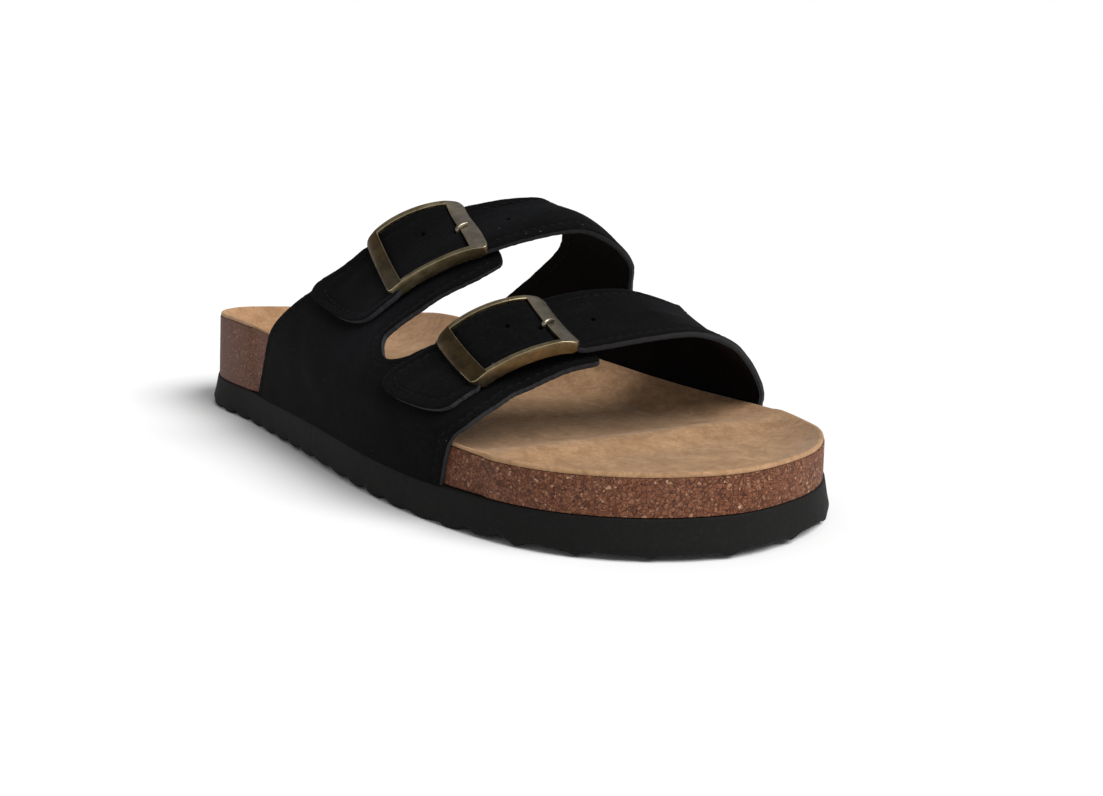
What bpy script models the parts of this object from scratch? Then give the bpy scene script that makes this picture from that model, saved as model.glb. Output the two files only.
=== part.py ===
"""Two-strap sandal for the right foot, made in Blender as separate closed solids.

The sizes are millimetres in the frame of the last: x runs from the heel to the toe, y towards the
inner (medial) side and z up from the floor. place() turns them into metres about the origin, which is
the middle of the sole's underside.
"""

import math

import bmesh
import bpy
import numpy as np
from mathutils import Vector

# Driving sizes
OBJECT = "two_strap_sandal"
MM = 0.001
ORIGIN = (128.2, 1.4, 0.0)
GAP = 0.3
LEATHER = 2.0
OUTSOLE = 10.7
OUTSOLE_TOP_STEP = 0.5
OUTSOLE_FLARE = 2.0
OUTSOLE_CHAMFER = 1.8
HEEL_FLARE = 1.4
HEEL_SPREAD = 0.8
HEEL_LEAN = 1.0
HEEL_LIFT = 1.2
HEEL_TILT = 1.9
INSOLE = 1.2
INSOLE_INSET = 0.7
INSOLE_EDGE = 0.5
LIP = 2.2
CORK_TUCK = 1.0
CORK_ROUND = 1.0
CORK_SINK = 0.45
WAIST_LIFT = 1.0
TOE_SPRING = 0.6
ARCH_RISE = 7.5
TOE_RIDGE = 2.6
METATARSAL_PAD = 1.6
TREAD_PITCH = 12.6
TREAD_DEPTH = 2.2
TREAD_WIDTH = 3.0
TREAD_WAVE = 3.6
SECTION_SKEW = 0.40
HOLE_RADIUS = 1.3
FRAME_BAR = 1.5
FRAME_TOP = 2.8
FRAME_UNDER = 1.4
FRAME_DEPTH = 5.2
FRAME_ROUND = 0.5
TAB_GAP = 0.3
END_BAR = 0.155
END_DROP = 0.6
AXLE_RADIUS = 0.6
AXLE_LIFT = -1.95
AXLE_BEHIND = 0.075
PRONG_RADIUS = 0.8

# Outline of the sole seen from above, round from the heel by the outer side to the toe and back
OUTLINE = [  # x, y
    (-2, -5), (3, -17), (16, -25), (50, -30), (110, -42), (150, -49), (188, -51), (221, -46), (244, -32),
    (258, -11), (259, 12), (253, 29), (240, 43), (206, 54), (165, 45), (110, 36), (50, 39), (18, 30), (3, 14),
]

# Heights of the footbed above the outsole: the rim, and the hollow that the foot lies in
RIM = [  # x, height
    (-5, 22.0), (25, 23.0), (60, 23.2), (110, 15.5), (165, 15.3), (205, 11.8), (270, 11.8),
]
HOLLOW = [  # x, height
    (-5, 13.0), (40, 12.0), (100, 11.5), (160, 9.0), (205, 7.6), (270, 7.6),
]
RIM_WIDTH = [  # x, width of the slope from the rim to the hollow
    (-5, 21.0), (60, 20.0), (130, 18.0), (205, 13.0), (270, 11.0),
]

# The last above the sole: crest of each skewed section, its side shift, and how full its flanks are
CREST_Z = [  # u, height
    (60, 101), (100, 98), (130, 82), (155, 77), (180, 60), (215, 50), (255, 45),
]
CREST_Y = [  # u, y
    (60, 23), (130, 23), (180, 12), (215, 11), (255, 11),
]
OUTER_FULL = (0.34, 0.40)
INNER_BULGE = 2.6
INNER_FULL = [  # u, upright share, level share
    (60, 0.55, 0.45), (130, 0.55, 0.45), (165, 0.35, 0.45), (200, 0.15, 0.40), (255, 0.15, 0.40),
]

# Edge lines of the two straps, from the inner foot of the upper (v 0) over the last to the outer (v 1)
REAR_STRAP = [  # v, rear edge u, front edge u
    (0.00, 77, 156), (0.11, 83, 152), (0.21, 107, 147), (0.30, 124, 156), (0.40, 130, 160),
    (0.53, 125, 159), (0.62, 119, 155), (0.69, 114, 149), (0.74, 111, 146), (0.81, 100, 142),
]
FRONT_STRAP = [  # v, rear edge u, front edge u
    (0.00, 156, 188), (0.11, 157, 190), (0.21, 164, 200), (0.30, 178, 211), (0.40, 183, 215),
    (0.55, 181, 213), (0.70, 179, 206), (0.80, 176, 205), (0.88, 174, 207),
]
# Edge lines of the outer quarter's two arms, from the outer foot up to the arms' ends below the straps
REAR_ARM = [  # v, rear edge u, front edge u
    (1.00, 66, 164), (0.94, 74, 164), (0.89, 81, 162), (0.84, 92, 160), (0.80, 100, 155),
    (0.71, 112, 157), (0.61, 120, 161), (0.56, 123, 161),
]
FRONT_ARM = [  # v, rear edge u, front edge u
    (1.00, 164, 207), (0.93, 164, 210), (0.87, 168, 214), (0.81, 171, 213), (0.75, 174, 211),
    (0.66, 178, 211), (0.58, 182, 214),
]
INNER_SPLIT = (0.165, 156.0, 0.030)  # v of the gap's round end, its u, and the length of the rounding
OUTER_SPLIT = (0.831, 164.5, 0.032)
TAB_ROUND = 0.042
ARM_ROUND = 0.026
TIP_LENGTH = 2.5
ARM_LIFT = [  # v, depth of the outer quarter below the last's surface
    (0.50, -3.8), (0.72, -3.8), (0.78, -2.7), (0.905, 0.0), (1.0, 0.0),
]

# Buckles: corners of the frame on the last, its bow at the rear and the front side bar, and the prong
BUCKLES = {  # name: lateral rear, medial rear, medial front, lateral front corners as (u, v)
    "rear": ((114.3, 0.687), (124.8, 0.528), (157.7, 0.583), (144.3, 0.741)),
    "front": ((178.4, 0.763), (182.5, 0.576), (209.9, 0.615), (204.4, 0.802)),
}
BOWS = {"rear": (4.1, 1.5), "front": (4.3, 3.4)}
FRAME_P = (0.0, 0.08, END_BAR, 0.26, 0.38, 0.5, 0.62, 0.74, 1 - END_BAR, 0.92, 1.0)
BAR_ENDS = (0.09, 0.70, 0.10, 0.45)  # length and loss of depth of a side bar at its outer and inner end
PRONG_HOLE = (0.812, 0.603)
PRONG_REST = ((0.840, 0.585, 1.25), (0.890, 0.548, 1.20), (0.945, 0.510, 0.85))  # p, q, lift over the frame
HOLES = {  # strap holes beside the prong's: name: (u, v)
    "rear": ((131.9, 0.622), (145.1, 0.510)),
    "front": ((192.2, 0.673), (197.2, 0.534)),
}

# Colour, roughness and metallic of each material
MATERIALS = {
    "suede_black": ((0.010, 0.010, 0.012), 0.95, 0.0),
    "suede_tan": ((0.42, 0.27, 0.16), 0.95, 0.0),
    "cork": ((0.25, 0.13, 0.07), 0.90, 0.0),
    "eva_black": ((0.012, 0.012, 0.013), 0.70, 0.0),
    "old_brass": ((0.34, 0.27, 0.14), 0.38, 1.0),
}


# Scene and helpers
for old in list(bpy.data.objects):
    bpy.data.objects.remove(old, do_unlink=True)

parts = bpy.data.collections.new(OBJECT)
cutters = bpy.data.collections.new("cutters")
for group in (parts, cutters):
    bpy.context.scene.collection.children.link(group)
cutters.hide_render = True


def material(name):
    """The named material, made once."""
    found = bpy.data.materials.get(name)
    if found:
        return found
    colour, rough, metal = MATERIALS[name]
    made = bpy.data.materials.new(name)
    made.use_nodes = True
    shader = made.node_tree.nodes["Principled BSDF"]
    shader.inputs["Base Color"].default_value = (*colour, 1.0)
    shader.inputs["Roughness"].default_value = rough
    shader.inputs["Metallic"].default_value = metal
    return made


def place(point):
    """Millimetres on the last to metres about the origin."""
    return Vector([(c - o) * MM for c, o in zip(point, ORIGIN)])


def table(rows, x, column=1):
    """A smooth value from a short table, read at x in its first column."""
    rows = sorted(rows)
    xs = np.array([row[0] for row in rows], float)
    ys = np.array([row[column] for row in rows], float)
    slope = np.gradient(ys, xs)
    step = np.diff(ys) / np.diff(xs)
    for i in range(1, len(xs) - 1):
        if step[i - 1] * step[i] <= 0.0:
            slope[i] = 0.0
    x = np.clip(x, xs[0], xs[-1])
    i = np.clip(np.searchsorted(xs, x) - 1, 0, len(xs) - 2)
    h = xs[i + 1] - xs[i]
    t = (x - xs[i]) / h
    return (ys[i] * (1 + 2 * t) * (1 - t) ** 2 + h * slope[i] * t * (1 - t) ** 2
            + ys[i + 1] * t * t * (3 - 2 * t) - h * slope[i + 1] * t * t * (1 - t))


def finish(name, bm, look, group=parts):
    """The bmesh as a named object with its material."""
    bmesh.ops.recalc_face_normals(bm, faces=bm.faces[:])
    if bm.calc_volume(signed=True) < 0:
        bmesh.ops.reverse_faces(bm, faces=bm.faces[:])
    mesh = bpy.data.meshes.new(name)
    bm.to_mesh(mesh)
    bm.free()
    obj = bpy.data.objects.new(name, mesh)
    group.objects.link(obj)
    if look:
        obj.data.materials.append(material(look))
    return obj


def cut(obj, cutter):
    """Takes the cutter out of the object."""
    cutter.hide_render = True
    cutter.display_type = "WIRE"
    modifier = obj.modifiers.new("cut", "BOOLEAN")
    modifier.operation = "DIFFERENCE"
    modifier.solver = "EXACT"
    modifier.object = cutter


# Outline of the sole
def smooth_loop(points, count):
    """A smooth closed curve through the points."""
    p = np.array(points, float)
    nodes = np.vstack([p[-2:], p, p[:3]])
    d = np.r_[0, np.cumsum(np.linalg.norm(np.diff(nodes, axis=0), axis=1))]
    slope = (nodes[2:] - nodes[:-2]) / (d[2:] - d[:-2])[:, None]
    at = np.linspace(d[2], d[len(p) + 2], count, endpoint=False)
    i = np.searchsorted(d, at, side="right") - 1
    h = (d[i + 1] - d[i])[:, None]
    t = (at - d[i])[:, None] / h
    return (nodes[i] * (1 + 2 * t) * (1 - t) ** 2 + h * slope[i - 1] * t * (1 - t) ** 2
            + nodes[i + 1] * t * t * (3 - 2 * t) - h * slope[i] * t * t * (1 - t))


RING = smooth_loop(OUTLINE, 720)
RING_WAY = np.roll(RING, -1, axis=0) - np.roll(RING, 1, axis=0)
RING_OUT = np.c_[RING_WAY[:, 1], -RING_WAY[:, 0]] / np.linalg.norm(RING_WAY, axis=1)[:, None]


def band(x, low, high, soft):
    """1 between low and high, 0 beyond, with soft ends."""
    t = np.clip(np.minimum(x - low, high - x) / soft + 1.0, 0.0, 1.0)
    return t * t * (3 - 2 * t)


# Where the cork is drawn in below the leather, and how much of the heel's flare and lean applies
TUCK = CORK_TUCK * (band(RING[:, 0], 48.0, 200.0, 6.0) * (RING[:, 1] < 0)
                    + band(RING[:, 0], 86.0, 217.0, 6.0) * (RING[:, 1] > 0))
HEEL = np.clip(1.0 - RING[:, 0] / 40.0, 0.0, 1.0)


def edges(offset):
    """Outer and inner side lines of the sole, moved out by an offset, which may vary round it."""
    ring = RING + RING_OUT * np.reshape(offset, (-1, 1))
    ring = np.roll(ring, -ring[:, 0].argmin(), axis=0)
    toe = ring[:, 0].argmax()
    outer = ring[: toe + 1]
    inner = np.vstack([ring[toe:], ring[:1]])[::-1]
    return outer, inner


def ground(x):
    """Underside of the sole: flat at the heel and the ball, lifted at the waist and both ends."""
    waist = np.where(x < 110, (x - 45) / 65, (170 - x) / 60).clip(0, 1)
    toe = ((x - 205) / 55).clip(0, 1.2)
    heel = ((22 - x) / 25).clip(0, 1.2)
    return (WAIST_LIFT * waist * waist * (3 - 2 * waist) + TOE_SPRING * toe * toe
            + HEEL_LIFT * heel * heel)


def rim(x, y):
    """Height of the footbed's edge above the outsole."""
    side = np.clip(y / 30.0, 0.0, 1.0)
    tilt = HEEL_TILT * np.clip(-y / 30.0, -1.0, 1.0) * np.clip((90.0 - x) / 60.0, 0.0, 1.0)
    return table(RIM, x) + ARCH_RISE * side * np.exp(-(((x - 115.0) / 40.0) ** 2)) + tilt


def footbed(x, y):
    """Height of the footbed's surface, where the foot lies."""
    away = np.hypot(x[:, None] - RING[:, 0], y[:, None] - RING[:, 1]).min(axis=1)
    slope = np.clip(1.0 - (away - LIP) / table(RIM_WIDTH, x), 0.0, 1.0) ** 2
    hollow = table(HOLLOW, x) + 0.45 * ARCH_RISE * np.clip(y / 40.0, 0.0, 1.0) * np.exp(
        -(((x - 115.0) / 40.0) ** 2))
    inside = np.clip(away / 16.0, 0.0, 1.0)
    ridge = TOE_RIDGE * np.exp(-(((x - 208.0 - 0.25 * y) / 8.0) ** 2)) * inside
    pad = METATARSAL_PAD * np.exp(-((x - 152.0) / 22.0) ** 2 - ((y + 2.0) / 16.0) ** 2)
    top = np.maximum(rim(x, y), hollow)
    return ground(x) + OUTSOLE + hollow + (top - hollow) * slope + ridge + pad


def slab(name, layers, rows, columns, look):
    """A solid lofted through layers of the sole. Each layer is (offset, height function)."""
    bm = bmesh.new()
    bmesh.ops.create_grid(bm, x_segments=rows, y_segments=columns, size=0.5)
    lid = bm.faces[:]
    for level in range(1, len(layers)):
        grown = bmesh.ops.extrude_face_region(bm, geom=lid, use_keep_orig=True)["geom"]
        risen = [g for g in grown if isinstance(g, bmesh.types.BMVert)]
        bmesh.ops.translate(bm, verts=risen, vec=(0, 0, 1))
        if level > 1:
            bmesh.ops.delete(bm, geom=lid, context="FACES")
        lid = [g for g in grown if isinstance(g, bmesh.types.BMFace)]
    co = np.array([v.co for v in bm.verts])
    level = np.rint(co[:, 2]).astype(int)
    along = co[:, 0] + 0.5
    across = co[:, 1] + 0.5
    across = 0.4 * across + 0.6 * (0.5 - 0.5 * np.cos(math.pi * across))
    for k, (offset, height) in enumerate(layers):
        outer, inner = edges(offset)
        mine = np.flatnonzero(level == k)
        low, high = outer[0, 0], outer[-1, 0]
        x = low + (high - low) * (0.5 - 0.5 * np.cos(math.pi * along[mine]))
        y0 = np.interp(x, outer[:, 0], outer[:, 1])
        y1 = np.interp(x, inner[:, 0], inner[:, 1])
        y = y0 + (y1 - y0) * across[mine]
        z = height(x, y)
        bm.verts.ensure_lookup_table()
        for i, point in zip(mine, zip(x, y, z)):
            bm.verts[i].co = place(point)
    bmesh.ops.remove_doubles(bm, verts=bm.verts[:], dist=0.02 * MM)
    return finish(name, bm, look)


# Outsole with its tread
outsole = slab("outsole", [
    (OUTSOLE_FLARE - OUTSOLE_CHAMFER + HEEL_FLARE * HEEL, lambda x, y: ground(x)),
    (OUTSOLE_FLARE + HEEL_FLARE * HEEL, lambda x, y: ground(x) + OUTSOLE_CHAMFER),
    (OUTSOLE_TOP_STEP + HEEL_SPREAD * HEEL, lambda x, y: ground(x) + OUTSOLE),
], 40, 3, "eva_black")


def tread_grooves():
    """Zigzag channels across the underside, as one cutter."""
    bm = bmesh.new()
    steps = 12
    for x in np.arange(8.0, 256.0, TREAD_PITCH):
        groove = bmesh.ops.create_grid(bm, x_segments=1, y_segments=steps, size=0.5)["verts"]
        faces = list({f for v in groove for f in v.link_faces})
        grown = bmesh.ops.extrude_face_region(bm, geom=faces, use_keep_orig=True)["geom"]
        roof = [g for g in grown if isinstance(g, bmesh.types.BMVert)]
        for points, wide, up in ((groove, 1.6, -1.0), (roof, 0.6, TREAD_DEPTH)):
            for v in points:
                turn = round((v.co.y + 0.5) * steps)
                at = x + v.co.x * TREAD_WIDTH * wide + TREAD_WAVE * (1 if turn % 2 else -1) / 2
                v.co = place((at, -60.0 + 10.0 * turn, ground(np.float64(at)) + up))
    return finish("tread_grooves", bm, None, cutters)


cut(outsole, tread_grooves())

# Cork footbed and its suede lining
CORK_BASE = OUTSOLE + GAP
CORK_TOP = -TUCK - HEEL_LEAN * HEEL
cork = slab("cork_footbed", [
    (HEEL_SPREAD * HEEL - TUCK, lambda x, y: ground(x) + CORK_BASE),
    (CORK_TOP, lambda x, y: footbed(x, y) - INSOLE - CORK_SINK - CORK_ROUND),
    (CORK_TOP - CORK_ROUND, lambda x, y: footbed(x, y) - INSOLE - CORK_SINK),
], 36, 8, "cork")
insole = slab("insole", [
    (CORK_TOP - INSOLE_INSET, lambda x, y: footbed(x, y) - INSOLE),
    (CORK_TOP - INSOLE_INSET, lambda x, y: footbed(x, y) - INSOLE_EDGE),
    (CORK_TOP - INSOLE_INSET - INSOLE_EDGE, lambda x, y: footbed(x, y)),
], 36, 8, "suede_tan")


# Surface of the upper on the last
def foot_line(u, line):
    """y where the skewed section u meets a side line of the sole."""
    return float(np.interp(u, line[:, 0] - SECTION_SKEW * line[:, 1], line[:, 1]))


OUTER_LINE, INNER_LINE = edges(GAP + LEATHER / 2 - CORK_TUCK)


def section(u):
    """One cross-section of the upper as points from the inner foot over the crest to the outer."""
    crest = np.array([table(CREST_Y, u), table(CREST_Z, u)])
    t = np.linspace(0, 1, 33)[:, None]
    flanks = []
    inner = (table(INNER_FULL, u, 1), table(INNER_FULL, u, 2))
    sides = ((INNER_LINE, inner, INNER_BULGE), (OUTER_LINE, OUTER_FULL, 0.0))
    for line, (upright, level), bulge in sides:
        y = foot_line(u, line)
        x = u + SECTION_SKEW * y
        floor = float(ground(np.float64(x))) + OUTSOLE + GAP
        edge = floor + float(rim(np.float64(x), np.float64(y))) + 0.5
        hull = np.array([(y, edge), (y + bulge, edge + upright * (crest[1] - edge)),
                         (crest[0] + level * (y - crest[0]), crest[1]), crest])
        curve = ((1 - t) ** 3 * hull[0] + 3 * t * (1 - t) ** 2 * hull[1]
                 + 3 * t * t * (1 - t) * hull[2] + t ** 3 * hull[3])
        flanks.append(np.vstack([[(y, floor)], curve]))
    yz = np.vstack([flanks[0], flanks[1][-2::-1]])
    return np.c_[u + SECTION_SKEW * yz[:, 0], yz]


def on_last(u, v):
    """The point at share v of the way along section u."""
    line = section(u)
    way = np.r_[0, np.cumsum(np.linalg.norm(np.diff(line, axis=0), axis=1))]
    return np.array([np.interp(v * way[-1], way, line[:, i]) for i in range(3)])


def lifted(u, v, lift):
    """A point on the last raised by lift along the outward normal."""
    low, high = max(v - 0.01, 0.0), min(v + 0.01, 1.0)
    out = np.cross(on_last(u + 1.0, v) - on_last(u - 1.0, v), on_last(u, low) - on_last(u, high))
    return on_last(u, v) + lift * out / np.linalg.norm(out)


def arm_lift(v):
    return table(ARM_LIFT, v)


def bow(buckle, q):
    """Rise of the buckle's middle at a share q from its rear to its front side."""
    rear, front = BOWS[buckle]
    return rear + (front - rear) * q


def arch(buckle, p, q):
    """Arch of the frame along the strap: p runs from its outer end to its inner end."""
    p = min(max(p, 0.0), 1.0)
    return bow(buckle, q) * (4 * p * (1 - p)) ** 0.75


def strap_rise(buckle, p, q):
    """Rise of the strap inside its buckle, which starts more softly than the frame's arch."""
    p = min(max(p, 0.0), 1.0)
    return bow(buckle, q) * abs(math.sin(math.pi * p)) ** 1.2


def strap_lift(buckle, v, s):
    """Straps lie on the last, bow up in their buckle, and end on the outer quarter."""
    rear_out, rear_in, front_in, front_out = BUCKLES[buckle]
    outer = rear_out[1] + (front_out[1] - rear_out[1]) * s
    inner = rear_in[1] + (front_in[1] - rear_in[1]) * s
    tail = max(0.0, arm_lift(v) + LEATHER + TAB_GAP) if v > 0.6 else 0.0
    return tail + strap_rise(buckle, (outer - v) / (outer - inner), s)


def slimmed(buckle, side, v, u):
    """An edge of the strap, drawn in between the side bars of its buckle."""
    rear_out, rear_in, front_in, front_out = BUCKLES[buckle]
    (u_in, v_in), (u_out, v_out) = ((rear_in, rear_out), (front_in, front_out))[side]
    bar = u_in + (u_out - u_in) * (v - v_in) / (v_out - v_in)
    inset = (FRAME_BAR + 3 * GAP) * (1 - 2 * side)
    return u + (bar + inset - u) * band(v, v_in - 0.020, v_out + 0.020, 0.02)


def ribbon(bm, rows, lines, split, side, tip, columns, buckle):
    """A grid bent onto the last between two edge lines, with the gap's round end and a round tip."""
    stations = len(rows) - 1
    grid = bmesh.ops.create_grid(bm, x_segments=columns, y_segments=stations, size=0.5)["verts"]
    end = rows[-1]
    way = math.copysign(1.0, end - rows[0])
    near = end - way * TIP_LENGTH * tip
    for vert in grid:
        s = 0.5 * (vert.co.x + 0.5) + 0.25 * (1.0 - math.cos(math.pi * (vert.co.x + 0.5)))
        v = rows[round((vert.co.y + 0.5) * stations)]
        share = max(0.0, (v - near) / (end - near))
        rounding = 1.0 - (1.0 - abs(2 * s - 1) ** 3.2) ** (1 / 3.2)
        v_here = v - way * tip * rounding * share
        line = [table(lines, v_here, 1), table(lines, v_here, 2)]
        grown = np.clip(abs(v_here - split[0]) / split[2], 0.0, 1.0)
        inside = (v_here - split[0]) * (end - split[0]) <= 0
        gap_line = 1.0 if inside else 1.0 - math.sqrt(1.0 - (1.0 - grown) ** 2)
        line[side] += (split[1] - line[side]) * gap_line
        if buckle:
            line = [slimmed(buckle, k, v_here, line[k]) for k in (0, 1)]
        u = line[0] + (line[1] - line[0]) * s
        lift = strap_lift(buckle, v_here, s) if buckle else arm_lift(v_here)
        vert.co = place(lifted(u, v_here, lift))


def leather(name, ribbons):
    """Two ribbons joined at the foot and given the leather's thickness."""
    bm = bmesh.new()
    for values in ribbons:
        ribbon(bm, *values)
    bmesh.ops.remove_doubles(bm, verts=bm.verts[:], dist=0.05 * MM)
    obj = finish(name, bm, "suede_black")
    wall = obj.modifiers.new("wall", "SOLIDIFY")
    wall.thickness = LEATHER * MM
    wall.offset = 0.0
    return obj


FOOT_ROWS = [0.0, 0.045, 0.09, 0.13, INNER_SPLIT[0]]
ROUND_ROWS = [1 - math.cos(a * math.pi / 8) for a in (1, 2, 3, 4)]
FORK_ROWS = FOOT_ROWS + [INNER_SPLIT[0] + INNER_SPLIT[2] * a for a in ROUND_ROWS]
REAR_ROWS = [*FORK_ROWS, *np.linspace(0.225, 0.46, 8), *np.linspace(0.49, 0.775, 14),
             0.787, 0.796, 0.803, 0.808]
FRONT_ROWS = [*FORK_ROWS, *np.linspace(0.225, 0.51, 9), *np.linspace(0.54, 0.850, 15),
              0.862, 0.871, 0.878, 0.883]
upper_medial = leather("upper_medial", [
    (REAR_ROWS, REAR_STRAP, INNER_SPLIT, 1, TAB_ROUND, 8, "rear"),
    (FRONT_ROWS, FRONT_STRAP, INNER_SPLIT, 0, TAB_ROUND, 8, "front"),
])
SIDE_ROWS = [1.0, 0.96, 0.93, 0.90, 0.88, 0.855, OUTER_SPLIT[0]]
QUARTER_ROWS = SIDE_ROWS + [OUTER_SPLIT[0] - OUTER_SPLIT[2] * a for a in ROUND_ROWS]
REAR_ARM_ROWS = [*QUARTER_ROWS, *np.linspace(0.78, 0.58, 9), 0.572, 0.565, 0.559, 0.555]
FRONT_ARM_ROWS = [*QUARTER_ROWS, *np.linspace(0.78, 0.605, 9), 0.597, 0.591, 0.586, 0.583]
upper_lateral = leather("upper_lateral", [
    (REAR_ARM_ROWS, REAR_ARM, OUTER_SPLIT, 1, ARM_ROUND, 10, None),
    (FRONT_ARM_ROWS, FRONT_ARM, OUTER_SPLIT, 0, ARM_ROUND, 10, None),
])


# Buckles
def frame_spot(buckle, p, q):
    """u and v on the buckle: p runs from its outer to its inner end, q from its rear to its front side."""
    rear_out, rear_in, front_in, front_out = (np.array(c) for c in BUCKLES[buckle])
    rear = rear_out + (rear_in - rear_out) * p
    front = front_out + (front_in - front_out) * p
    return rear + (front - rear) * q


def on_frame(buckle, p, q, lift):
    """A point raised by lift over the buckle's arch."""
    return place(lifted(*frame_spot(buckle, p, q), lift + arch(buckle, p, q)))


def on_strap(buckle, p, q, lift):
    """A point raised by lift over the strap inside the buckle."""
    return place(lifted(*frame_spot(buckle, p, q), lift + strap_rise(buckle, p, q)))


def frame_size(buckle):
    """Length along the strap and width across it, in millimetres."""
    length = (on_frame(buckle, 0.0, 0.5, 0.0) - on_frame(buckle, 1.0, 0.5, 0.0)).length / MM
    width = (on_frame(buckle, 0.5, 0.0, 0.0) - on_frame(buckle, 0.5, 1.0, 0.0)).length / MM
    return length, width


def buckle_frame(buckle):
    """An arched plate with a window, on two deep side bars."""
    length, width = frame_size(buckle)
    bar = FRAME_BAR / width
    across = (0.0, bar, 0.275, 0.5, 0.725, 1 - bar, 1.0)
    bm = bmesh.new()
    bmesh.ops.create_grid(bm, x_segments=len(FRAME_P) - 1, y_segments=len(across) - 1, size=0.5)
    window = []
    for face in bm.faces:
        middle = face.calc_center_median()
        column = (middle.x + 0.5) * (len(FRAME_P) - 1)
        row = (middle.y + 0.5) * (len(across) - 1)
        if 2 < column < len(FRAME_P) - 3 and 1 < row < len(across) - 2:
            window.append(face)
    bmesh.ops.delete(bm, geom=window, context="FACES")
    flat = bm.faces[:]
    grown = bmesh.ops.extrude_face_region(bm, geom=flat, use_keep_orig=True)["geom"]
    bmesh.ops.translate(bm, verts=[g for g in grown if isinstance(g, bmesh.types.BMVert)], vec=(0, 0, 1))
    bars = [f for f in flat if abs(f.calc_center_median().y) > 0.5 - 1.0 / (len(across) - 1)]
    feet = bmesh.ops.extrude_face_region(bm, geom=bars, use_keep_orig=True)["geom"]
    bmesh.ops.delete(bm, geom=bars, context="FACES")
    bmesh.ops.translate(bm, verts=[g for g in feet if isinstance(g, bmesh.types.BMVert)], vec=(0, 0, -1))
    for vert in bm.verts:
        p = FRAME_P[round((vert.co.x + 0.5) * (len(FRAME_P) - 1))]
        q = across[round((vert.co.y + 0.5) * (len(across) - 1))]
        vert.co = frame_point(buckle, p, q, round(vert.co.z), length, width)
    return finish("buckle_frame_" + buckle, bm, "old_brass")


def frame_point(buckle, p, q, layer, length, width):
    """A point of the frame: layer 1 is its top, 0 the plate's underside and -1 the foot of a side bar."""
    end = min(p, 1.0 - p)
    out_length, out_loss, in_length, in_loss = BAR_ENDS
    depth = FRAME_DEPTH * (1.0 - out_loss * max(0.0, 1.0 - p / out_length)
                           - in_loss * max(0.0, 1.0 - (1.0 - p) / in_length))
    top = FRAME_TOP - END_DROP * max(0.0, 1.0 - end / END_BAR)
    rest = arm_lift(frame_spot(buckle, p, q)[1]) + LEATHER / 2 + GAP + 0.2
    foot = min(FRAME_UNDER - 0.3, max(top - depth, rest - arch(buckle, p, q)))
    corner = max(0.0, 1.0 - end * length / FRAME_ROUND)
    drawn_in = FRAME_ROUND / width * (1.0 - math.sqrt(1.0 - corner * corner))
    q = 0.5 + (q - 0.5) * (1.0 - 2 * drawn_in)
    return on_frame(buckle, p, q, (FRAME_UNDER, top, foot)[layer])


def rod(name, points, radius, look):
    """A round bar along the points."""
    curve = bpy.data.curves.new(name, "CURVE")
    curve.dimensions = "3D"
    curve.bevel_depth = radius * MM
    curve.bevel_resolution = 2
    curve.use_fill_caps = True
    spline = curve.splines.new("POLY")
    spline.points.add(len(points) - 1)
    for knot, point in zip(spline.points, points):
        knot.co = (*point, 1.0)
    obj = bpy.data.objects.new(name, curve)
    parts.objects.link(obj)
    curve.materials.append(material(look))
    return obj


def hole(strap, name, bottom, top):
    """A round hole through a strap between two points."""
    middle = (bottom + top) / 2
    bm = bmesh.new()
    bmesh.ops.create_cone(bm, cap_ends=True, segments=12, radius1=HOLE_RADIUS * MM,
                          radius2=HOLE_RADIUS * MM, depth=(top - bottom).length)
    turn = (top - bottom).to_track_quat("Z", "Y").to_matrix()
    bmesh.ops.rotate(bm, verts=bm.verts[:], cent=(0, 0, 0), matrix=turn)
    bmesh.ops.translate(bm, verts=bm.verts[:], vec=middle)
    cut(strap, finish(name, bm, None, cutters))


for buckle in BUCKLES:
    buckle_frame(buckle)
    side = (FRAME_BAR + GAP) / frame_size(buckle)[1]
    prong_p, prong_q = PRONG_HOLE
    rod("buckle_axle_" + buckle,
        [on_strap(buckle, prong_p - AXLE_BEHIND, q, AXLE_LIFT) for q in np.linspace(side, 1 - side, 7)],
        AXLE_RADIUS, "old_brass")
    stem = [on_strap(buckle, prong_p, prong_q, lift) for lift in (-1.6, 1.6)]
    over = [on_frame(buckle, p, q, FRAME_TOP + lift) for p, q, lift in PRONG_REST]
    rod("buckle_prong_" + buckle, stem + over, PRONG_RADIUS, "old_brass")
    hole(upper_medial, "prong_hole_" + buckle, on_strap(buckle, prong_p, prong_q, -4.0),
         on_strap(buckle, prong_p, prong_q, 4.0))
    for number, (u, v) in enumerate(HOLES[buckle], 1):
        hole(upper_medial, f"strap_hole_{buckle}_{number}", place(lifted(u, v, -4.0)),
             place(lifted(u, v, 6.5)))
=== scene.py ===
# %% [markdown]
# # A two-strap cork sandal for the right foot
#
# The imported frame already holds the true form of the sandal: an outsole, a cork footbed with its suede
# lining, two leather halves of the upper and two buckles. This lesson dresses that form. Each piece is
# modelled again with the fine shape that shows close up, it stands for its solid in the frame, and it
# gets a material made only from nodes. Loading the frame comes first, because its box is the size that
# the dressed sandal has to keep.

import math
from collections import namedtuple

import bpy
import numpy as np
from mathutils import Matrix, Vector
from mathutils.kdtree import KDTree


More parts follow.
